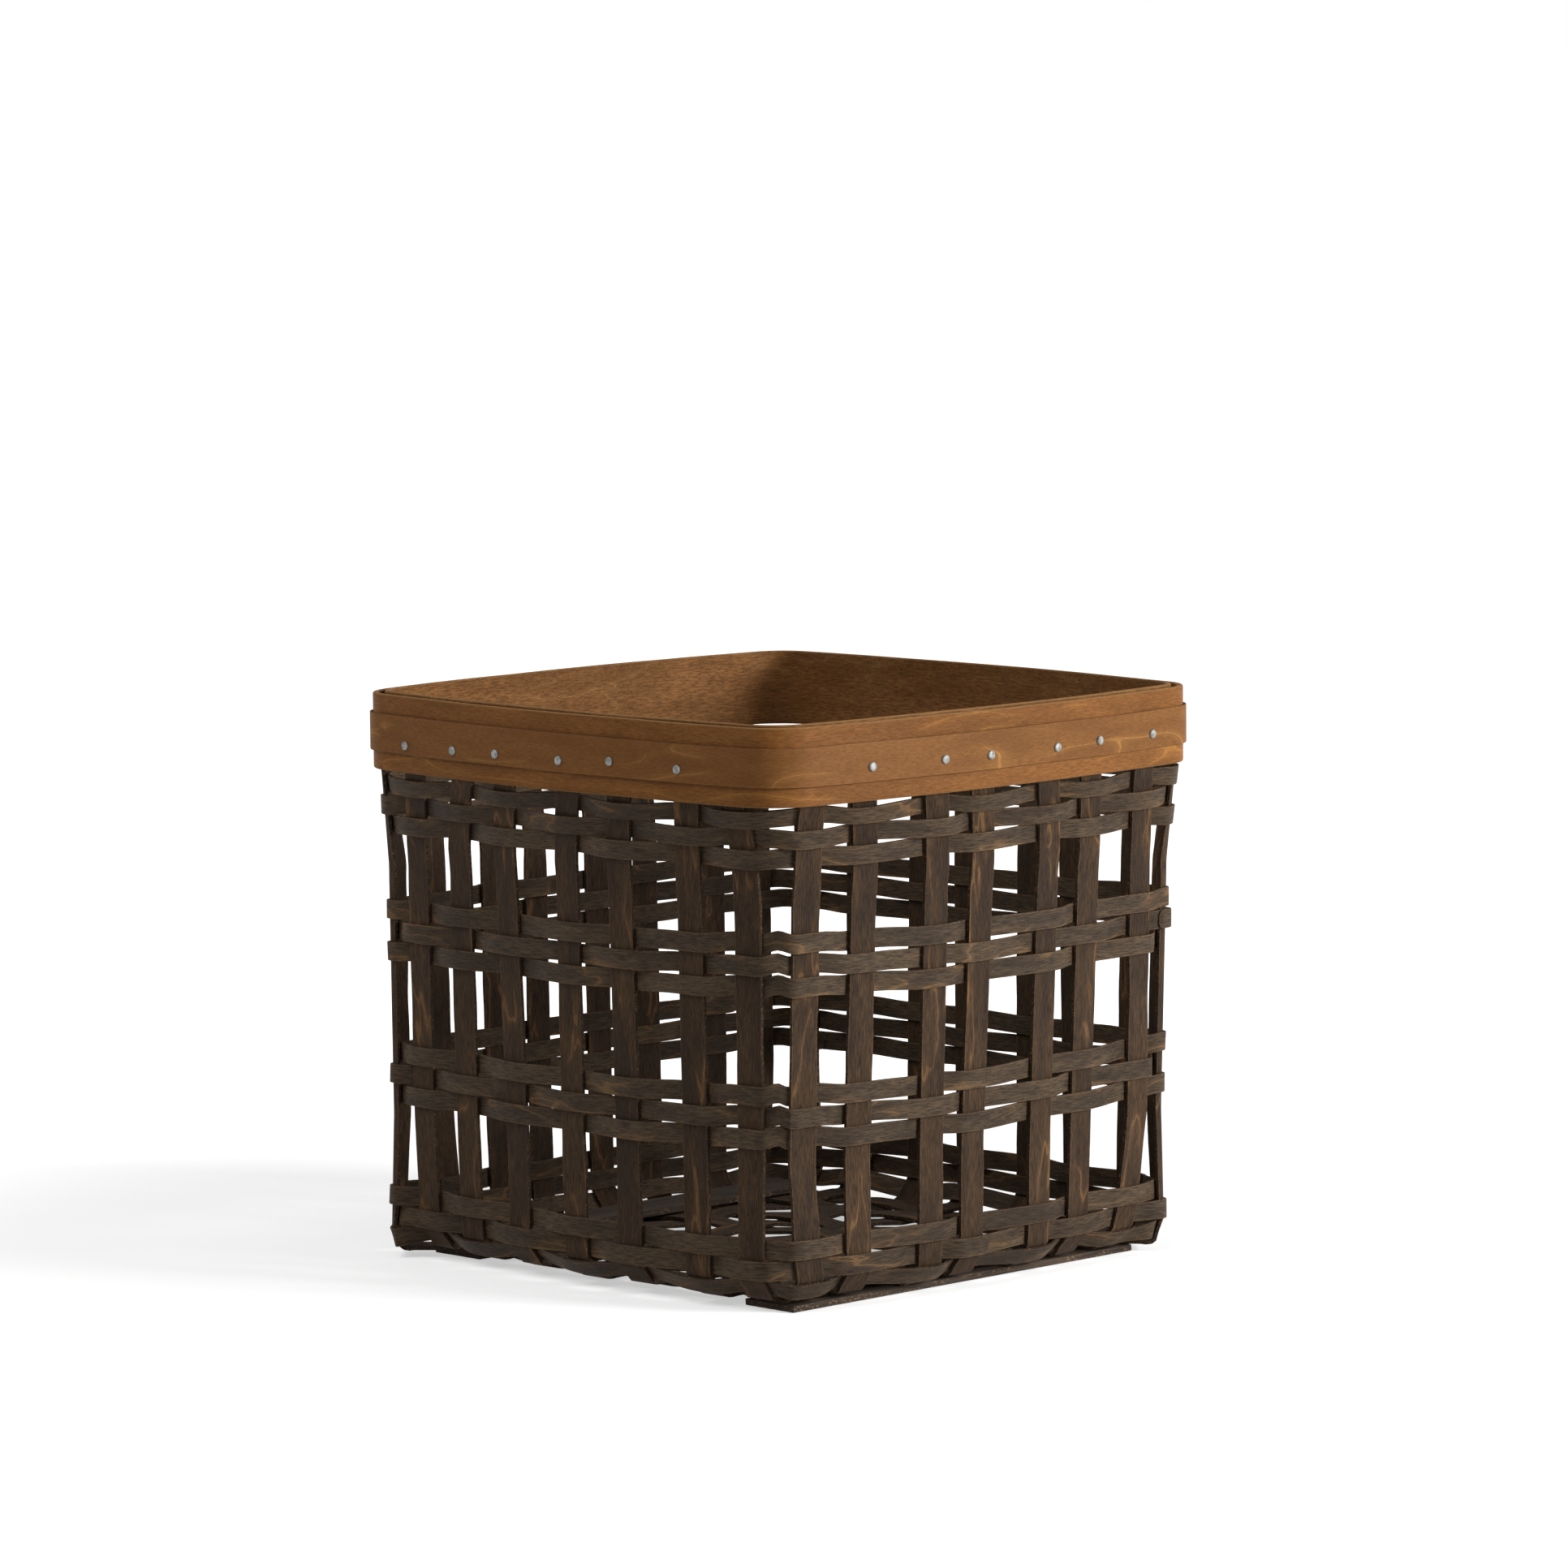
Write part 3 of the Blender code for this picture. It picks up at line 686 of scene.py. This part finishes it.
def hermite(rail, slopes, number, span, share):
    """Point between two points of a rail, on the cubic that meets both slopes."""
    square, cube = share ** 2, share ** 3
    return (rail[number] * (2 * cube - 3 * square + 1)
            + slopes[number] * span * (cube - 2 * square + share)
            + rail[number + 1] * (3 * square - 2 * cube)
            + slopes[number + 1] * span * (cube - square))


def lengths_along(rows):
    """How far along a strip each of its rows lies."""
    lengths = [0]
    for before, after in zip(rows, rows[1:]):
        lengths.append(lengths[-1] + (middle_of(after) - middle_of(before)).length)
    return lengths


def worn_rows(rows, seed, width, edge_wear, twist):
    """The rows with slightly uneven edges and small twists, and how far along each lies."""
    lengths = lengths_along(rows)
    worn = []
    for number, (row, along) in enumerate(zip(rows, lengths)):
        middle = middle_of(row)
        neighbour = rows[number + 1] if number + 1 < len(rows) else rows[number - 1]
        heading = (middle_of(neighbour) - middle).normalized()
        turn = Matrix.Rotation(twist(seed, middle, along), 3, heading)
        moved = []
        for index, point in enumerate(row):
            share = 2 * index / (len(row) - 1) - 1
            slow = uneven(along / slow_wear_length, seed, share)
            fast = uneven(along / fast_wear_length, seed, share + 9)
            stretch = 1 + (slow + fast_wear_share * fast) * edge_wear / (width / 2)
            moved.append(middle + turn @ (point - middle) * stretch)
        worn.append(moved)
    return worn, lengths


def rounded_tips(rows):
    """The rows with both of the strip's ends rounded off."""
    head = round_tip(rows[0], rows[1])
    tail = round_tip(rows[-1], rows[-2])
    return head + rows[1:-1] + tail[::-1]


def round_tip(tip, neighbour):
    """Rows that narrow towards a tip."""
    rows = []
    for share in TIP_SHARES:
        row = [end.lerp(near, share) for end, near in zip(tip, neighbour)]
        middle = middle_of(row)
        width_share = mix(TIP_SHARES[1], 1, math.sqrt(1 - (1 - share) ** 2))
        rows.append([middle + (point - middle) * width_share for point in row])
    return rows


def add_piece(name, mesh, slot_name, *nodes):
    """A finished piece that stands for its CAD nodes."""
    piece = new_object(name, mesh)
    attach(piece, "root")
    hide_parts(*nodes)
    return piece


def finished_mesh(name, shape, *materials):
    """A smooth mesh from a shape that is done with."""
    mesh = bpy.data.meshes.new(name)
    shape.to_mesh(mesh)
    shape.free()
    mesh.shade_smooth()
    for material in materials:
        mesh.materials.append(material)
    return mesh


def strip_mesh(name, rows, lengths, width, start, materials, closed=False):
    """A sheet through rows of points, with a map of metres along and across it."""
    along_steps = len(rows) - 1
    across_steps = len(rows[0]) - 1
    reaches = [[sum((row[number + 1] - row[number]).length for number in range(count))
                for count in range(len(row))] for row in rows]
    shape = bmesh.new()
    bmesh.ops.create_grid(shape, x_segments=along_steps, y_segments=across_steps, size=1)
    layer = shape.loops.layers.uv.new("Grain")
    places_by_vertex = {}
    for vertex in shape.verts:
        along = round((vertex.co.x + 1) / 2 * along_steps)
        across = round((vertex.co.y + 1) / 2 * across_steps)
        places_by_vertex[vertex] = (
            start + lengths[along], (reaches[along][across] / reaches[along][-1] - 0.5) * width)
        vertex.co = rows[along][across]
    for face in shape.faces:
        for loop in face.loops:
            loop[layer].uv = places_by_vertex[loop.vert]
    if closed:
        bmesh.ops.remove_doubles(shape, verts=shape.verts, dist=MERGE_DISTANCE)
    return finished_mesh(name, shape, *materials)


def thicken(piece, thickness, edge_round, segments):
    """Gives a sheet its real thickness and rounds its edges."""
    settle(piece.modifiers.new("Thickness", "SOLIDIFY"), thickness=thickness, offset=0,
           use_even_offset=True, material_offset_rim=1)
    settle(piece.modifiers.new("Edges", "BEVEL"), width=edge_round, segments=segments,
           limit_method="ANGLE", angle_limit=math.radians(40), harden_normals=True)


def stake_twist(seed, middle, along):
    """Small twists of a stake between two groups of rows, where no weaver holds it."""
    for number in range(len(group_heights) - 1):
        top = group_heights[number] - free_rows_below * group_steps[number]
        bottom = group_heights[number + 1] + free_rows_above * group_steps[number + 1]
        if bottom < middle.z < top:
            swing = math.sin(math.pi * (middle.z - bottom) / (top - bottom)) ** 2
            wall = 0 if middle.x + middle.y > 0 else 5
            return stake_twist_angle * swing * uneven(number * 7 + wall, seed, 0.5)
    return 0


def weaver_twist(seed, middle, along):
    """Small twists along a weaver."""
    return weaver_twist_angle * uneven(along / weaver_twist_length, seed, 2.5)


def add_splint(name, rows, seed, width, thickness, wear, twist, wood):
    rows, lengths = worn_rows(rows, seed, width, wear, twist)
    mesh = strip_mesh(name, rows, lengths, width, seed, (wood, splint_edge))
    piece = add_piece(f"{name}_splint", mesh, "splint_wood", name)
    thicken(piece, thickness, splint_edge_round, 2)


def add_stake(name, stations, seed):
    add_splint(name, smooth_rows(held_stations(stations)), seed, stake_width,
               stake_thickness, stake_edge_wear, stake_twist, stake_wood)


def add_weaver(name, row):
    add_splint(name, rounded_tips(smooth_rows(weaver_stations(row))), row + 20, weaver_width,
               weaver_thickness, weaver_edge_wear, weaver_twist, weaver_wood)


def band_rows(depth, bottom, height):
    """Rows up an upright band, at a depth inside the outer band's outline."""
    parts = ((band_plan.side_point, BAND_SIDE_STEPS), (band_plan.corner_point, BAND_CORNER_STEPS))
    points = [point_at(side, step / steps, depth)
              for side in SIDES for point_at, steps in parts for step in range(steps)]
    rises = [Vector((0, 0, bottom + height * step / STRIP_STEPS))
             for step in range(STRIP_STEPS + 1)]
    return [[point + rise for rise in rises] for point in points + points[:1]]


def ring_wave(along, length, seed, wave):
    """A slow rise and fall that meets itself after a full turn."""
    angle = 2 * math.pi * along / length
    return uneven(3 * math.cos(angle), 3 * math.sin(angle), seed) * wave


def add_band(node, depth, thickness, bottom, height, seed, materials, edge_round, wave, slot_name):
    rows = band_rows(depth, bottom, height)
    lengths = lengths_along(rows)
    for row, along in zip(rows, lengths):
        low = ring_wave(along, lengths[-1], seed, wave)
        high = ring_wave(along, lengths[-1], seed + 4, wave)
        for index, point in enumerate(row):
            point.z += mix(low, high, index / (len(row) - 1))
    mesh = strip_mesh(node, rows, lengths, height, seed, materials, closed=True)
    piece = add_piece(f"{node}_wood", mesh, slot_name, node)
    thicken(piece, thickness, edge_round, 3)


def tack_placings():
    """Where each tack's head meets the trim, as a matrix with +Z pointing out of the band."""
    stakes = front_ends[:-1] + right_ends[1:-1] + back_ends[:0:-1] + left_ends[:1:-1]
    drop_shares = 2 * (front_tack_drop_shares + right_tack_drop_shares)
    centre = band_half_width - band_plan.side_radius
    placings = []
    for stake, drop_share in zip(stakes, drop_shares):
        across = stake.across_at(rim_height)
        outward = turned(band_plan.out_at(across) - centre, across, stake.side).normalized()
        foot = turned(band_plan.out_at(across), across, stake.side)
        foot.z = trim_middle - drop_share * trim_height
        foot += outward * (trim_thickness + 2 * seat_gap)
        turn = outward.to_track_quat("Z", "Y").to_matrix().to_4x4()
        placings.append(Matrix.Translation(foot) @ turn)
    return placings


def add_tack(node, placing, seed):
    """A tack with a hand-hammered, slightly domed head."""
    head = head_diameter / 2
    shank = shank_diameter / 2
    sink = seat_gap
    dome = ((0, 1), (0.45, 0.98), (0.74, 0.90), (0.90, 0.68), (0.98, 0.35), (1, 0))
    profile = [(head * out, head_thickness * rise) for out, rise in dome]
    profile += [(head * 0.97, -sink), (shank, -sink), (shank, -band_thickness),
                (0, -band_thickness)]
    shape = bmesh.new()
    verts = [shape.verts.new((out, 0, height)) for out, height in profile]
    edges = [shape.edges.new(pair) for pair in zip(verts, verts[1:])]
    bmesh.ops.spin(shape, geom=verts + edges, cent=(0, 0, 0), axis=(0, 0, 1),
                   angle=2 * math.pi, steps=TACK_STEPS, use_merge=True)
    bmesh.ops.remove_doubles(shape, verts=shape.verts, dist=MERGE_DISTANCE)
    for vertex in shape.verts:
        if vertex.co.z >= 0:
            dent = uneven(vertex.co.x / (1.6 * MM), vertex.co.y / (1.6 * MM), seed)
            vertex.co.z *= 1 + 0.18 * dent
            vertex.co.x *= 1 + 0.05 * uneven(seed, vertex.co.y / (2 * MM), 3)
    bmesh.ops.recalc_face_normals(shape, faces=shape.faces)
    bmesh.ops.transform(shape, matrix=placing, verts=shape.verts)
    add_piece(f"{node}_head", finished_mesh(node, shape, tack_steel), "tack_metal", node)


def add_board(node, seed):
    """A board with rough-sawn edges, where the frame has it."""
    low, high = (Vector(corner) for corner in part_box(node))
    size = high - low
    middle = (low + high) / 2
    shape = bmesh.new()
    bmesh.ops.create_cube(shape, size=1)
    bmesh.ops.scale(shape, verts=shape.verts, vec=size)
    for axis, cuts in ((1, BOARD_LENGTH_CUTS), (0, BOARD_WIDTH_CUTS)):
        edges = [edge for edge in shape.edges
                 if abs(edge.verts[0].co[axis] - edge.verts[1].co[axis]) > size[axis] / 2]
        bmesh.ops.subdivide_edges(shape, edges=edges, cuts=cuts, use_grid_fill=True)
    sharp = [edge for edge in shape.edges if edge.calc_face_angle(0) > math.radians(60)]
    bmesh.ops.bevel(shape, geom=sharp, offset=board_edge_round, offset_type="OFFSET", segments=2,
                    profile=0.5, affect="EDGES", material=-1)
    for vertex in shape.verts:
        inward = Vector((-vertex.co.x / size.x, 0, 0))
        rough = uneven(vertex.co.y / (6 * MM), vertex.co.z / (2 * MM), seed)
        edge = share_between(abs(vertex.co.x), size.x / 2 - board_wear_reach, size.x / 2)
        vertex.co += inward * (edge * (0.35 + 0.5 * rough) * board_edge_wear)
        end = share_between(abs(vertex.co.y), size.y / 2 - board_wear_reach, size.y / 2)
        saw = uneven(vertex.co.x / (3 * MM), vertex.co.z / (1 * MM), seed + 3)
        vertex.co.y -= math.copysign(end * (0.25 + 0.4 * saw) * MM, vertex.co.y)
    bmesh.ops.translate(shape, verts=shape.verts, vec=middle)
    bmesh.ops.recalc_face_normals(shape, faces=shape.faces)
    mesh = finished_mesh(node, shape, board_wood)
    mesh.set_sharp_from_angle(angle=math.radians(50))
    add_piece(f"{node}_wood", mesh, "board_wood", node)


# Finishes

class Nodes:
    """Short ways to add nodes to a tree and to join them."""

    def __init__(self, tree):
        self.tree = tree

    def add(self, kind, inputs=(), output=0, **settings):
        """A new node's output."""
        node = self.tree.nodes.new(f"ShaderNode{kind}")
        settle(node, **settings)
        for socket, value in dict(inputs).items():
            self.set(node.inputs[socket], value)
        return node.outputs[output]

    def set(self, socket, value):
        if isinstance(value, bpy.types.NodeSocket):
            self.tree.links.new(value, socket)
        else:
            socket.default_value = value

    def math(self, operation, first, second=0.0, clamp=False):
        return self.add("Math", {0: first, 1: second}, operation=operation, use_clamp=clamp)

    def times(self, first, second):
        return self.math("MULTIPLY", first, second)

    def plus(self, first, second, clamp=False):
        return self.math("ADD", first, second, clamp)

    def noise(self, vector, scale, detail, roughness=0.55, distortion=0.0):
        return self.add("TexNoise", {
            "Vector": vector, "Scale": scale, "Detail": detail, "Roughness": roughness,
            "Distortion": distortion}, "Fac")

    def grain(self, vector, scale, detail, roughness=0.55, distortion=0.0):
        """Noise drawn out by a scale of its own along each axis."""
        drawn = self.add("Mapping", {"Vector": vector, "Scale": scale})
        return self.noise(drawn, 1.0, detail, roughness, distortion)

    def place(self):
        return self.add("TexCoord", output="Object")

    def ramp(self, value, low, high):
        """Zero below low, one above high, smooth between."""
        return self.add("MapRange", {0: value, 1: low, 2: high},
                        interpolation_type="SMOOTHSTEP")

    def blend(self, share, first, second):
        return self.add("Mix", {0: share, 6: first, 7: second}, 2, data_type="RGBA")

    def bump(self, height, strength, distance):
        return self.add("Bump", {"Height": height, "Strength": strength,
                                 "Distance": distance})

    def seen(self):
        """One for what the camera sees, also by reflection or through glass."""
        rays = self.tree.nodes.new("ShaderNodeLightPath").outputs
        shown = self.math("MAXIMUM", rays["Is Camera Ray"], rays["Is Glossy Ray"])
        return self.math("MAXIMUM", shown, rays["Is Transmission Ray"])


class Finish(Nodes):
    """A material under construction."""

    def __init__(self, name, body=(1, 1, 1)):
        self.base = colour(*body)
        self.material = bpy.data.materials.new(name)
        self.material.use_nodes = True
        super().__init__(self.material.node_tree)
        self.shader = self.tree.nodes["Principled BSDF"]

    def tint(self, share, tone):
        """Turns a share of the base colour to another tone."""
        self.base = self.blend(share, self.base, colour(*tone))

    def surface(self, inputs):
        """Sets the shader's sockets and gives the material."""
        for socket, value in {"Base Color": self.base, **inputs}.items():
            self.set(self.shader.inputs[socket], value)
        return self.material


def colour(red, green, blue):
    return (red, green, blue, 1.0)


def make_wood(name, body, dark, pale, vein, half_width, roughness, grain_length=7,
              grain_width=0.6, grain_share=0.75, pores=0.4, vein_share=0.5,
              vein_reach=0.004, relief=1.0, edge_light=0.5, vein_detail=2.0,
              vein_bend=0.4):
    """Stained wood whose grain runs along the piece's own map, its grain's sizes in millimetres."""
    wood = Finish(name, body)
    uv = wood.add("UVMap", uv_map="Grain")
    drift = wood.times(wood.grain(uv, (9, 30, 1), 2.0), 0.006)
    aside = wood.add("CombineXYZ", {1: drift})
    bent = wood.add("VectorMath", {0: uv, 1: aside}, operation="ADD")
    fibre_scale = (1 / (grain_length * MM), 1 / (grain_width * MM), 1)
    fibre = wood.grain(bent, fibre_scale, 4.0, 0.65)
    hair = wood.grain(bent, (450, 4200, 1), 2.0, 0.6)
    patch = wood.grain(bent, (30, 150, 1), 3.0, 0.6)
    slow = wood.grain(uv, (7, 18, 1), 1.0)

    tone = wood.plus(wood.times(patch, 0.5), wood.times(slow, 0.5))
    wood.tint(wood.ramp(tone, 0.38, 0.62), pale)
    wood.tint(wood.times(wood.ramp(fibre, 0.60, 0.38), grain_share), dark)
    wood.tint(wood.times(wood.ramp(hair, 0.54, 0.72), pores), pale)
    wood.tint(wood.times(wood.ramp(hair, 0.46, 0.30), pores), dark)

    figure = wood.grain(bent, (17, 75, 1), vein_detail, 0.5, vein_bend)
    contour = wood.math("ABSOLUTE", wood.math("SUBTRACT", figure, 0.5))
    line = wood.ramp(contour, 5 * vein_reach, vein_reach)
    wisp = wood.ramp(contour, 0.09, 0.0)
    where = wood.ramp(wood.grain(uv, (11, 40, 1), 1.0), 0.50, 0.60)
    broken = wood.times(wood.times(line, where), wood.ramp(hair, 0.3, 0.6))
    faint = wood.times(wood.times(wisp, where), vein_share * 0.25)
    wood.tint(wood.plus(wood.times(broken, vein_share), faint, clamp=True), vein)

    across = wood.math("ABSOLUTE", wood.add("SeparateXYZ", {0: uv}, 1))
    edge = wood.ramp(across, half_width - 0.9 * MM, half_width)
    wood.tint(wood.times(edge, wood.times(wood.ramp(hair, 0.42, 0.62), edge_light)), vein)

    height = wood.plus(wood.times(fibre, 0.7), wood.times(hair, 0.5))
    return wood.surface({
        "Roughness": wood.plus(wood.times(fibre, -0.22), roughness + 0.11),
        "Specular IOR Level": 0.14, "Normal": wood.bump(height, 0.5 * relief, 0.35 * MM)})


def make_cut_edge(name, body, fleck, fleck_share):
    """The cut edge of a splint or board, with its torn fibres."""
    wood = Finish(name, body)
    place = wood.place()
    grit = wood.noise(place, 1500, 3.0, 0.7)
    spots = wood.noise(place, 420, 2.0, 0.6)
    flecks = wood.times(wood.ramp(grit, 0.52, 0.66), wood.ramp(spots, 0.40, 0.60))
    wood.tint(wood.times(flecks, fleck_share), fleck)
    return wood.surface({"Roughness": 0.85, "Specular IOR Level": 0.2,
                         "Normal": wood.bump(grit, 0.7, 0.4 * MM)})


def make_board_wood(name, body, dark, pale, fleck):
    """A dark stained board: long grain on its faces and pale torn fibres on its cut edges."""
    wood = Finish(name, body)
    place = wood.place()
    fibre = wood.grain(place, (900, 22, 900), 4.0, 0.65)
    patch = wood.grain(place, (60, 7, 60), 3.0)
    grit = wood.grain(place, (1100, 500, 1100), 3.0, 0.7)
    spots = wood.grain(place, (260, 60, 260), 3.0, 0.6)
    wood.tint(wood.ramp(patch, 0.38, 0.62), pale)
    wood.tint(wood.times(wood.ramp(fibre, 0.58, 0.36), 0.8), dark)
    facing = wood.add("SeparateXYZ", {0: wood.add("NewGeometry", output="Normal")}, 2)
    upright = wood.ramp(wood.math("ABSOLUTE", facing), 0.8, 0.4)
    torn = wood.times(wood.ramp(grit, 0.50, 0.64), wood.ramp(spots, 0.45, 0.60))
    wood.tint(wood.times(wood.times(torn, upright), 0.55), fleck)
    height = wood.plus(wood.times(fibre, 0.5), wood.times(grit, 0.6))
    return wood.surface({"Roughness": 0.85, "Specular IOR Level": 0.25,
                         "Normal": wood.bump(height, 0.7, 0.5 * MM)})


def make_tack_steel():
    steel = Finish("tack_steel", (0.30, 0.30, 0.29))
    place = steel.place()
    grit = steel.noise(place, 900, 3.0, 0.6)
    steel.tint(steel.ramp(steel.noise(place, 330, 2.0), 0.40, 0.66), (0.15, 0.15, 0.14))
    return steel.surface({"Metallic": 0.6,
                          "Roughness": steel.plus(steel.times(grit, 0.3), 0.42),
                          "Normal": steel.bump(grit, 0.6, 0.25 * MM)})


stake_wood = make_wood(
    "stake_wood", (0.037, 0.021, 0.012), (0.008, 0.005, 0.003), (0.086, 0.049, 0.025),
    (0.25, 0.132, 0.055), stake_width / 2, vein_share=0.6, roughness=0.72)
weaver_wood = make_wood(
    "weaver_wood", (0.048, 0.031, 0.019), (0.009, 0.006, 0.004), (0.116, 0.077, 0.045),
    (0.27, 0.150, 0.065), weaver_width / 2, roughness=0.64)
splint_edge = make_cut_edge("splint_edge", (0.026, 0.016, 0.009), (0.34, 0.19, 0.085), 0.75)
outer_wood = make_wood(
    "outer_wood", (0.192, 0.074, 0.016), (0.085, 0.029, 0.006), (0.278, 0.111, 0.027),
    (0.50, 0.23, 0.05), band_height / 2, grain_length=5, grain_width=0.7, grain_share=0.5,
    pores=0.45, vein_reach=0.002, roughness=0.62, relief=0.5, edge_light=0.35,
    vein_detail=0.3, vein_bend=0.0)
inner_wood = make_wood(
    "inner_wood", (0.190, 0.078, 0.020), (0.060, 0.023, 0.005), (0.310, 0.138, 0.044),
    (0.50, 0.28, 0.11), band_height / 2, grain_length=6, grain_width=0.8, grain_share=0.65,
    pores=0.8, vein_share=0.2, vein_reach=0.002, roughness=0.64, relief=1.4, edge_light=0.4)
band_edge = make_cut_edge("band_edge", (0.27, 0.132, 0.042), (0.52, 0.32, 0.14), 0.7)
trim_wood = make_wood(
    "trim_wood", (0.195, 0.079, 0.021), (0.105, 0.039, 0.009), (0.255, 0.107, 0.030),
    (0.52, 0.26, 0.07), trim_height / 2, grain_length=4, grain_share=0.45,
    vein_share=0.55, vein_reach=0.002, roughness=0.64, relief=0.4, edge_light=0.2,
    vein_detail=0.3, vein_bend=0.0)
trim_edge = make_cut_edge("trim_edge", (0.12, 0.053, 0.020), (0.33, 0.17, 0.06), 0.4)
board_wood = make_board_wood("board_wood_rough", (0.060, 0.042, 0.030), (0.022, 0.015, 0.010),
                             (0.105, 0.072, 0.048), (0.40, 0.26, 0.14))
tack_steel = make_tack_steel()

# Both ends of every stake, in the directions of the axes
front_ends = [StakeEnd("front", shares) for shares in front_stake_shares]
back_ends = [StakeEnd("back", shares) for shares in back_stake_shares]
right_ends = [StakeEnd("right", shares) for shares in right_stake_shares]
right_ends.append(CornerEnd("right", right_leg_share, right_corner_stand_out,
                            right_corner_fold, right_turn_radius))
left_ends = [CornerEnd("left", left_leg_share, left_corner_stand_out, left_corner_fold,
                       left_turn_radius)]
left_ends += [StakeEnd("left", shares) for shares in left_stake_shares]
front_pairs = list(zip(front_ends, back_ends))
side_pairs = list(zip(right_ends, left_ends))

# Places round the wall, anticlockwise from the left corner
places = left_ends[:1] + front_ends + [BareCorner("front")]
places += right_ends + back_ends[::-1] + [BareCorner("back")] + left_ends[:0:-1]

for number, ends in enumerate(front_pairs):
    add_stake(f"front_stake_{number + 1}", stake_stations(ends, number, side_pairs, False), number)
for number, ends in enumerate(side_pairs):
    add_stake(f"side_stake_{number + 1}", stake_stations(ends, number, front_pairs, True),
              number + len(front_pairs))
for row in range(ROWS):
    add_weaver(f"weaver_{row + 1:02d}", row)

add_band("outer_band", band_thickness / 2, band_thickness, band_bottom, band_height, 51,
         (outer_wood, band_edge), band_edge_round, band_wave, "band_wood")
add_band("inner_band", inner_band_depth + band_thickness / 2, band_thickness,
         band_bottom + inner_band_rise, band_height, 52, (inner_wood, band_edge),
         band_edge_round, band_wave, "band_wood")
add_band("trim_strip", -seat_gap - trim_thickness / 2, trim_thickness,
         rim_height - trim_drop - trim_height, trim_height, 53, (trim_wood, trim_edge),
         trim_edge_round, trim_wave, "trim_wood")

for number, placing in enumerate(tack_placings()):
    add_tack(f"tack_{number + 1:02d}", placing, number)

for number, node in enumerate(("left_runner", "right_runner", "left_slat", "right_slat")):
    add_board(node, number)


# Studio: white floor and backdrop, soft light, the photograph's camera

def add_floor():
    shape = bmesh.new()
    bmesh.ops.create_grid(shape, x_segments=1, y_segments=1, size=floor_reach)
    finish = Finish("floor_white")
    floor = new_object("floor", finished_mesh("floor", shape, finish.material))
    floor.location.z = -floor_drop
    nodes = finish.tree.nodes
    nodes.remove(finish.shader)
    plain = finish.add("BsdfDiffuse", {"Color": colour(0.62, 0.62, 0.62)})
    bright = finish.add("BsdfDiffuse", {"Color": colour(0.92, 0.92, 0.92)})
    reach = finish.add("VectorMath", {0: finish.place()}, "Value", operation="LENGTH")
    far = finish.plus(finish.times(finish.ramp(reach, 0.35, 0.8), 0.45), 0.52)
    glow = finish.add("Emission", {"Color": WHITE, "Strength": far})
    both = finish.add("AddShader", {0: bright, 1: glow})
    chosen = finish.add("MixShader", {0: finish.seen(), 1: plain, 2: both})
    finish.set(nodes["Material Output"].inputs["Surface"], chosen)


def add_world():
    world = bpy.data.worlds.new("studio")
    world.use_nodes = True
    nodes = world.node_tree.nodes
    nodes.clear()
    sky = Nodes(world.node_tree)
    ambient = sky.add("Background", {"Color": WHITE, "Strength": ambient_strength})
    white = sky.add("Background", {"Color": WHITE, "Strength": 1.0})
    chosen = sky.add("MixShader", {0: sky.seen(), 1: ambient, 2: white})
    sky.set(nodes.new("ShaderNodeOutputWorld").inputs["Surface"], chosen)
    bpy.context.scene.world = world


def add_softbox(name, place, size, power):
    lamp = bpy.data.lights.new(name, "AREA")
    settle(lamp, shape="SQUARE", size=size, energy=power)
    box = new_object(name, lamp)
    box.location = place
    box.rotation_euler = (lamp_target - Vector(place)).to_track_quat("-Z", "Y").to_euler()


floor_reach = 30
floor_drop = 0.2 * MM
ambient_strength = 0.18
lamp_target = Vector((0, 0, 150 * MM))
camera_place = (2.6754, -2.6447, 0.6459)
camera_heading = Vector((-0.7065, 0.69939, -0.10817))
camera_roll = math.radians(-0.515)
camera_lens = 173.8

add_floor()
add_world()
add_softbox("key_light", (2.55, 1.15, 0.98), 1.0, 87)
add_softbox("top_light", (-0.3, -1.7, 2.2), 1.6, 21)

view = bpy.data.cameras.new("camera")
settle(view, sensor_width=36, lens=camera_lens, clip_end=100)
camera = new_object("camera", view)
turn = camera_heading.to_track_quat("-Z", "Y").to_matrix() @ Matrix.Rotation(camera_roll, 3, "Z")
camera.matrix_world = Matrix.Translation(camera_place) @ turn.to_4x4()
bpy.context.scene.camera = camera
bpy.context.scene.view_settings.view_transform = "Standard"
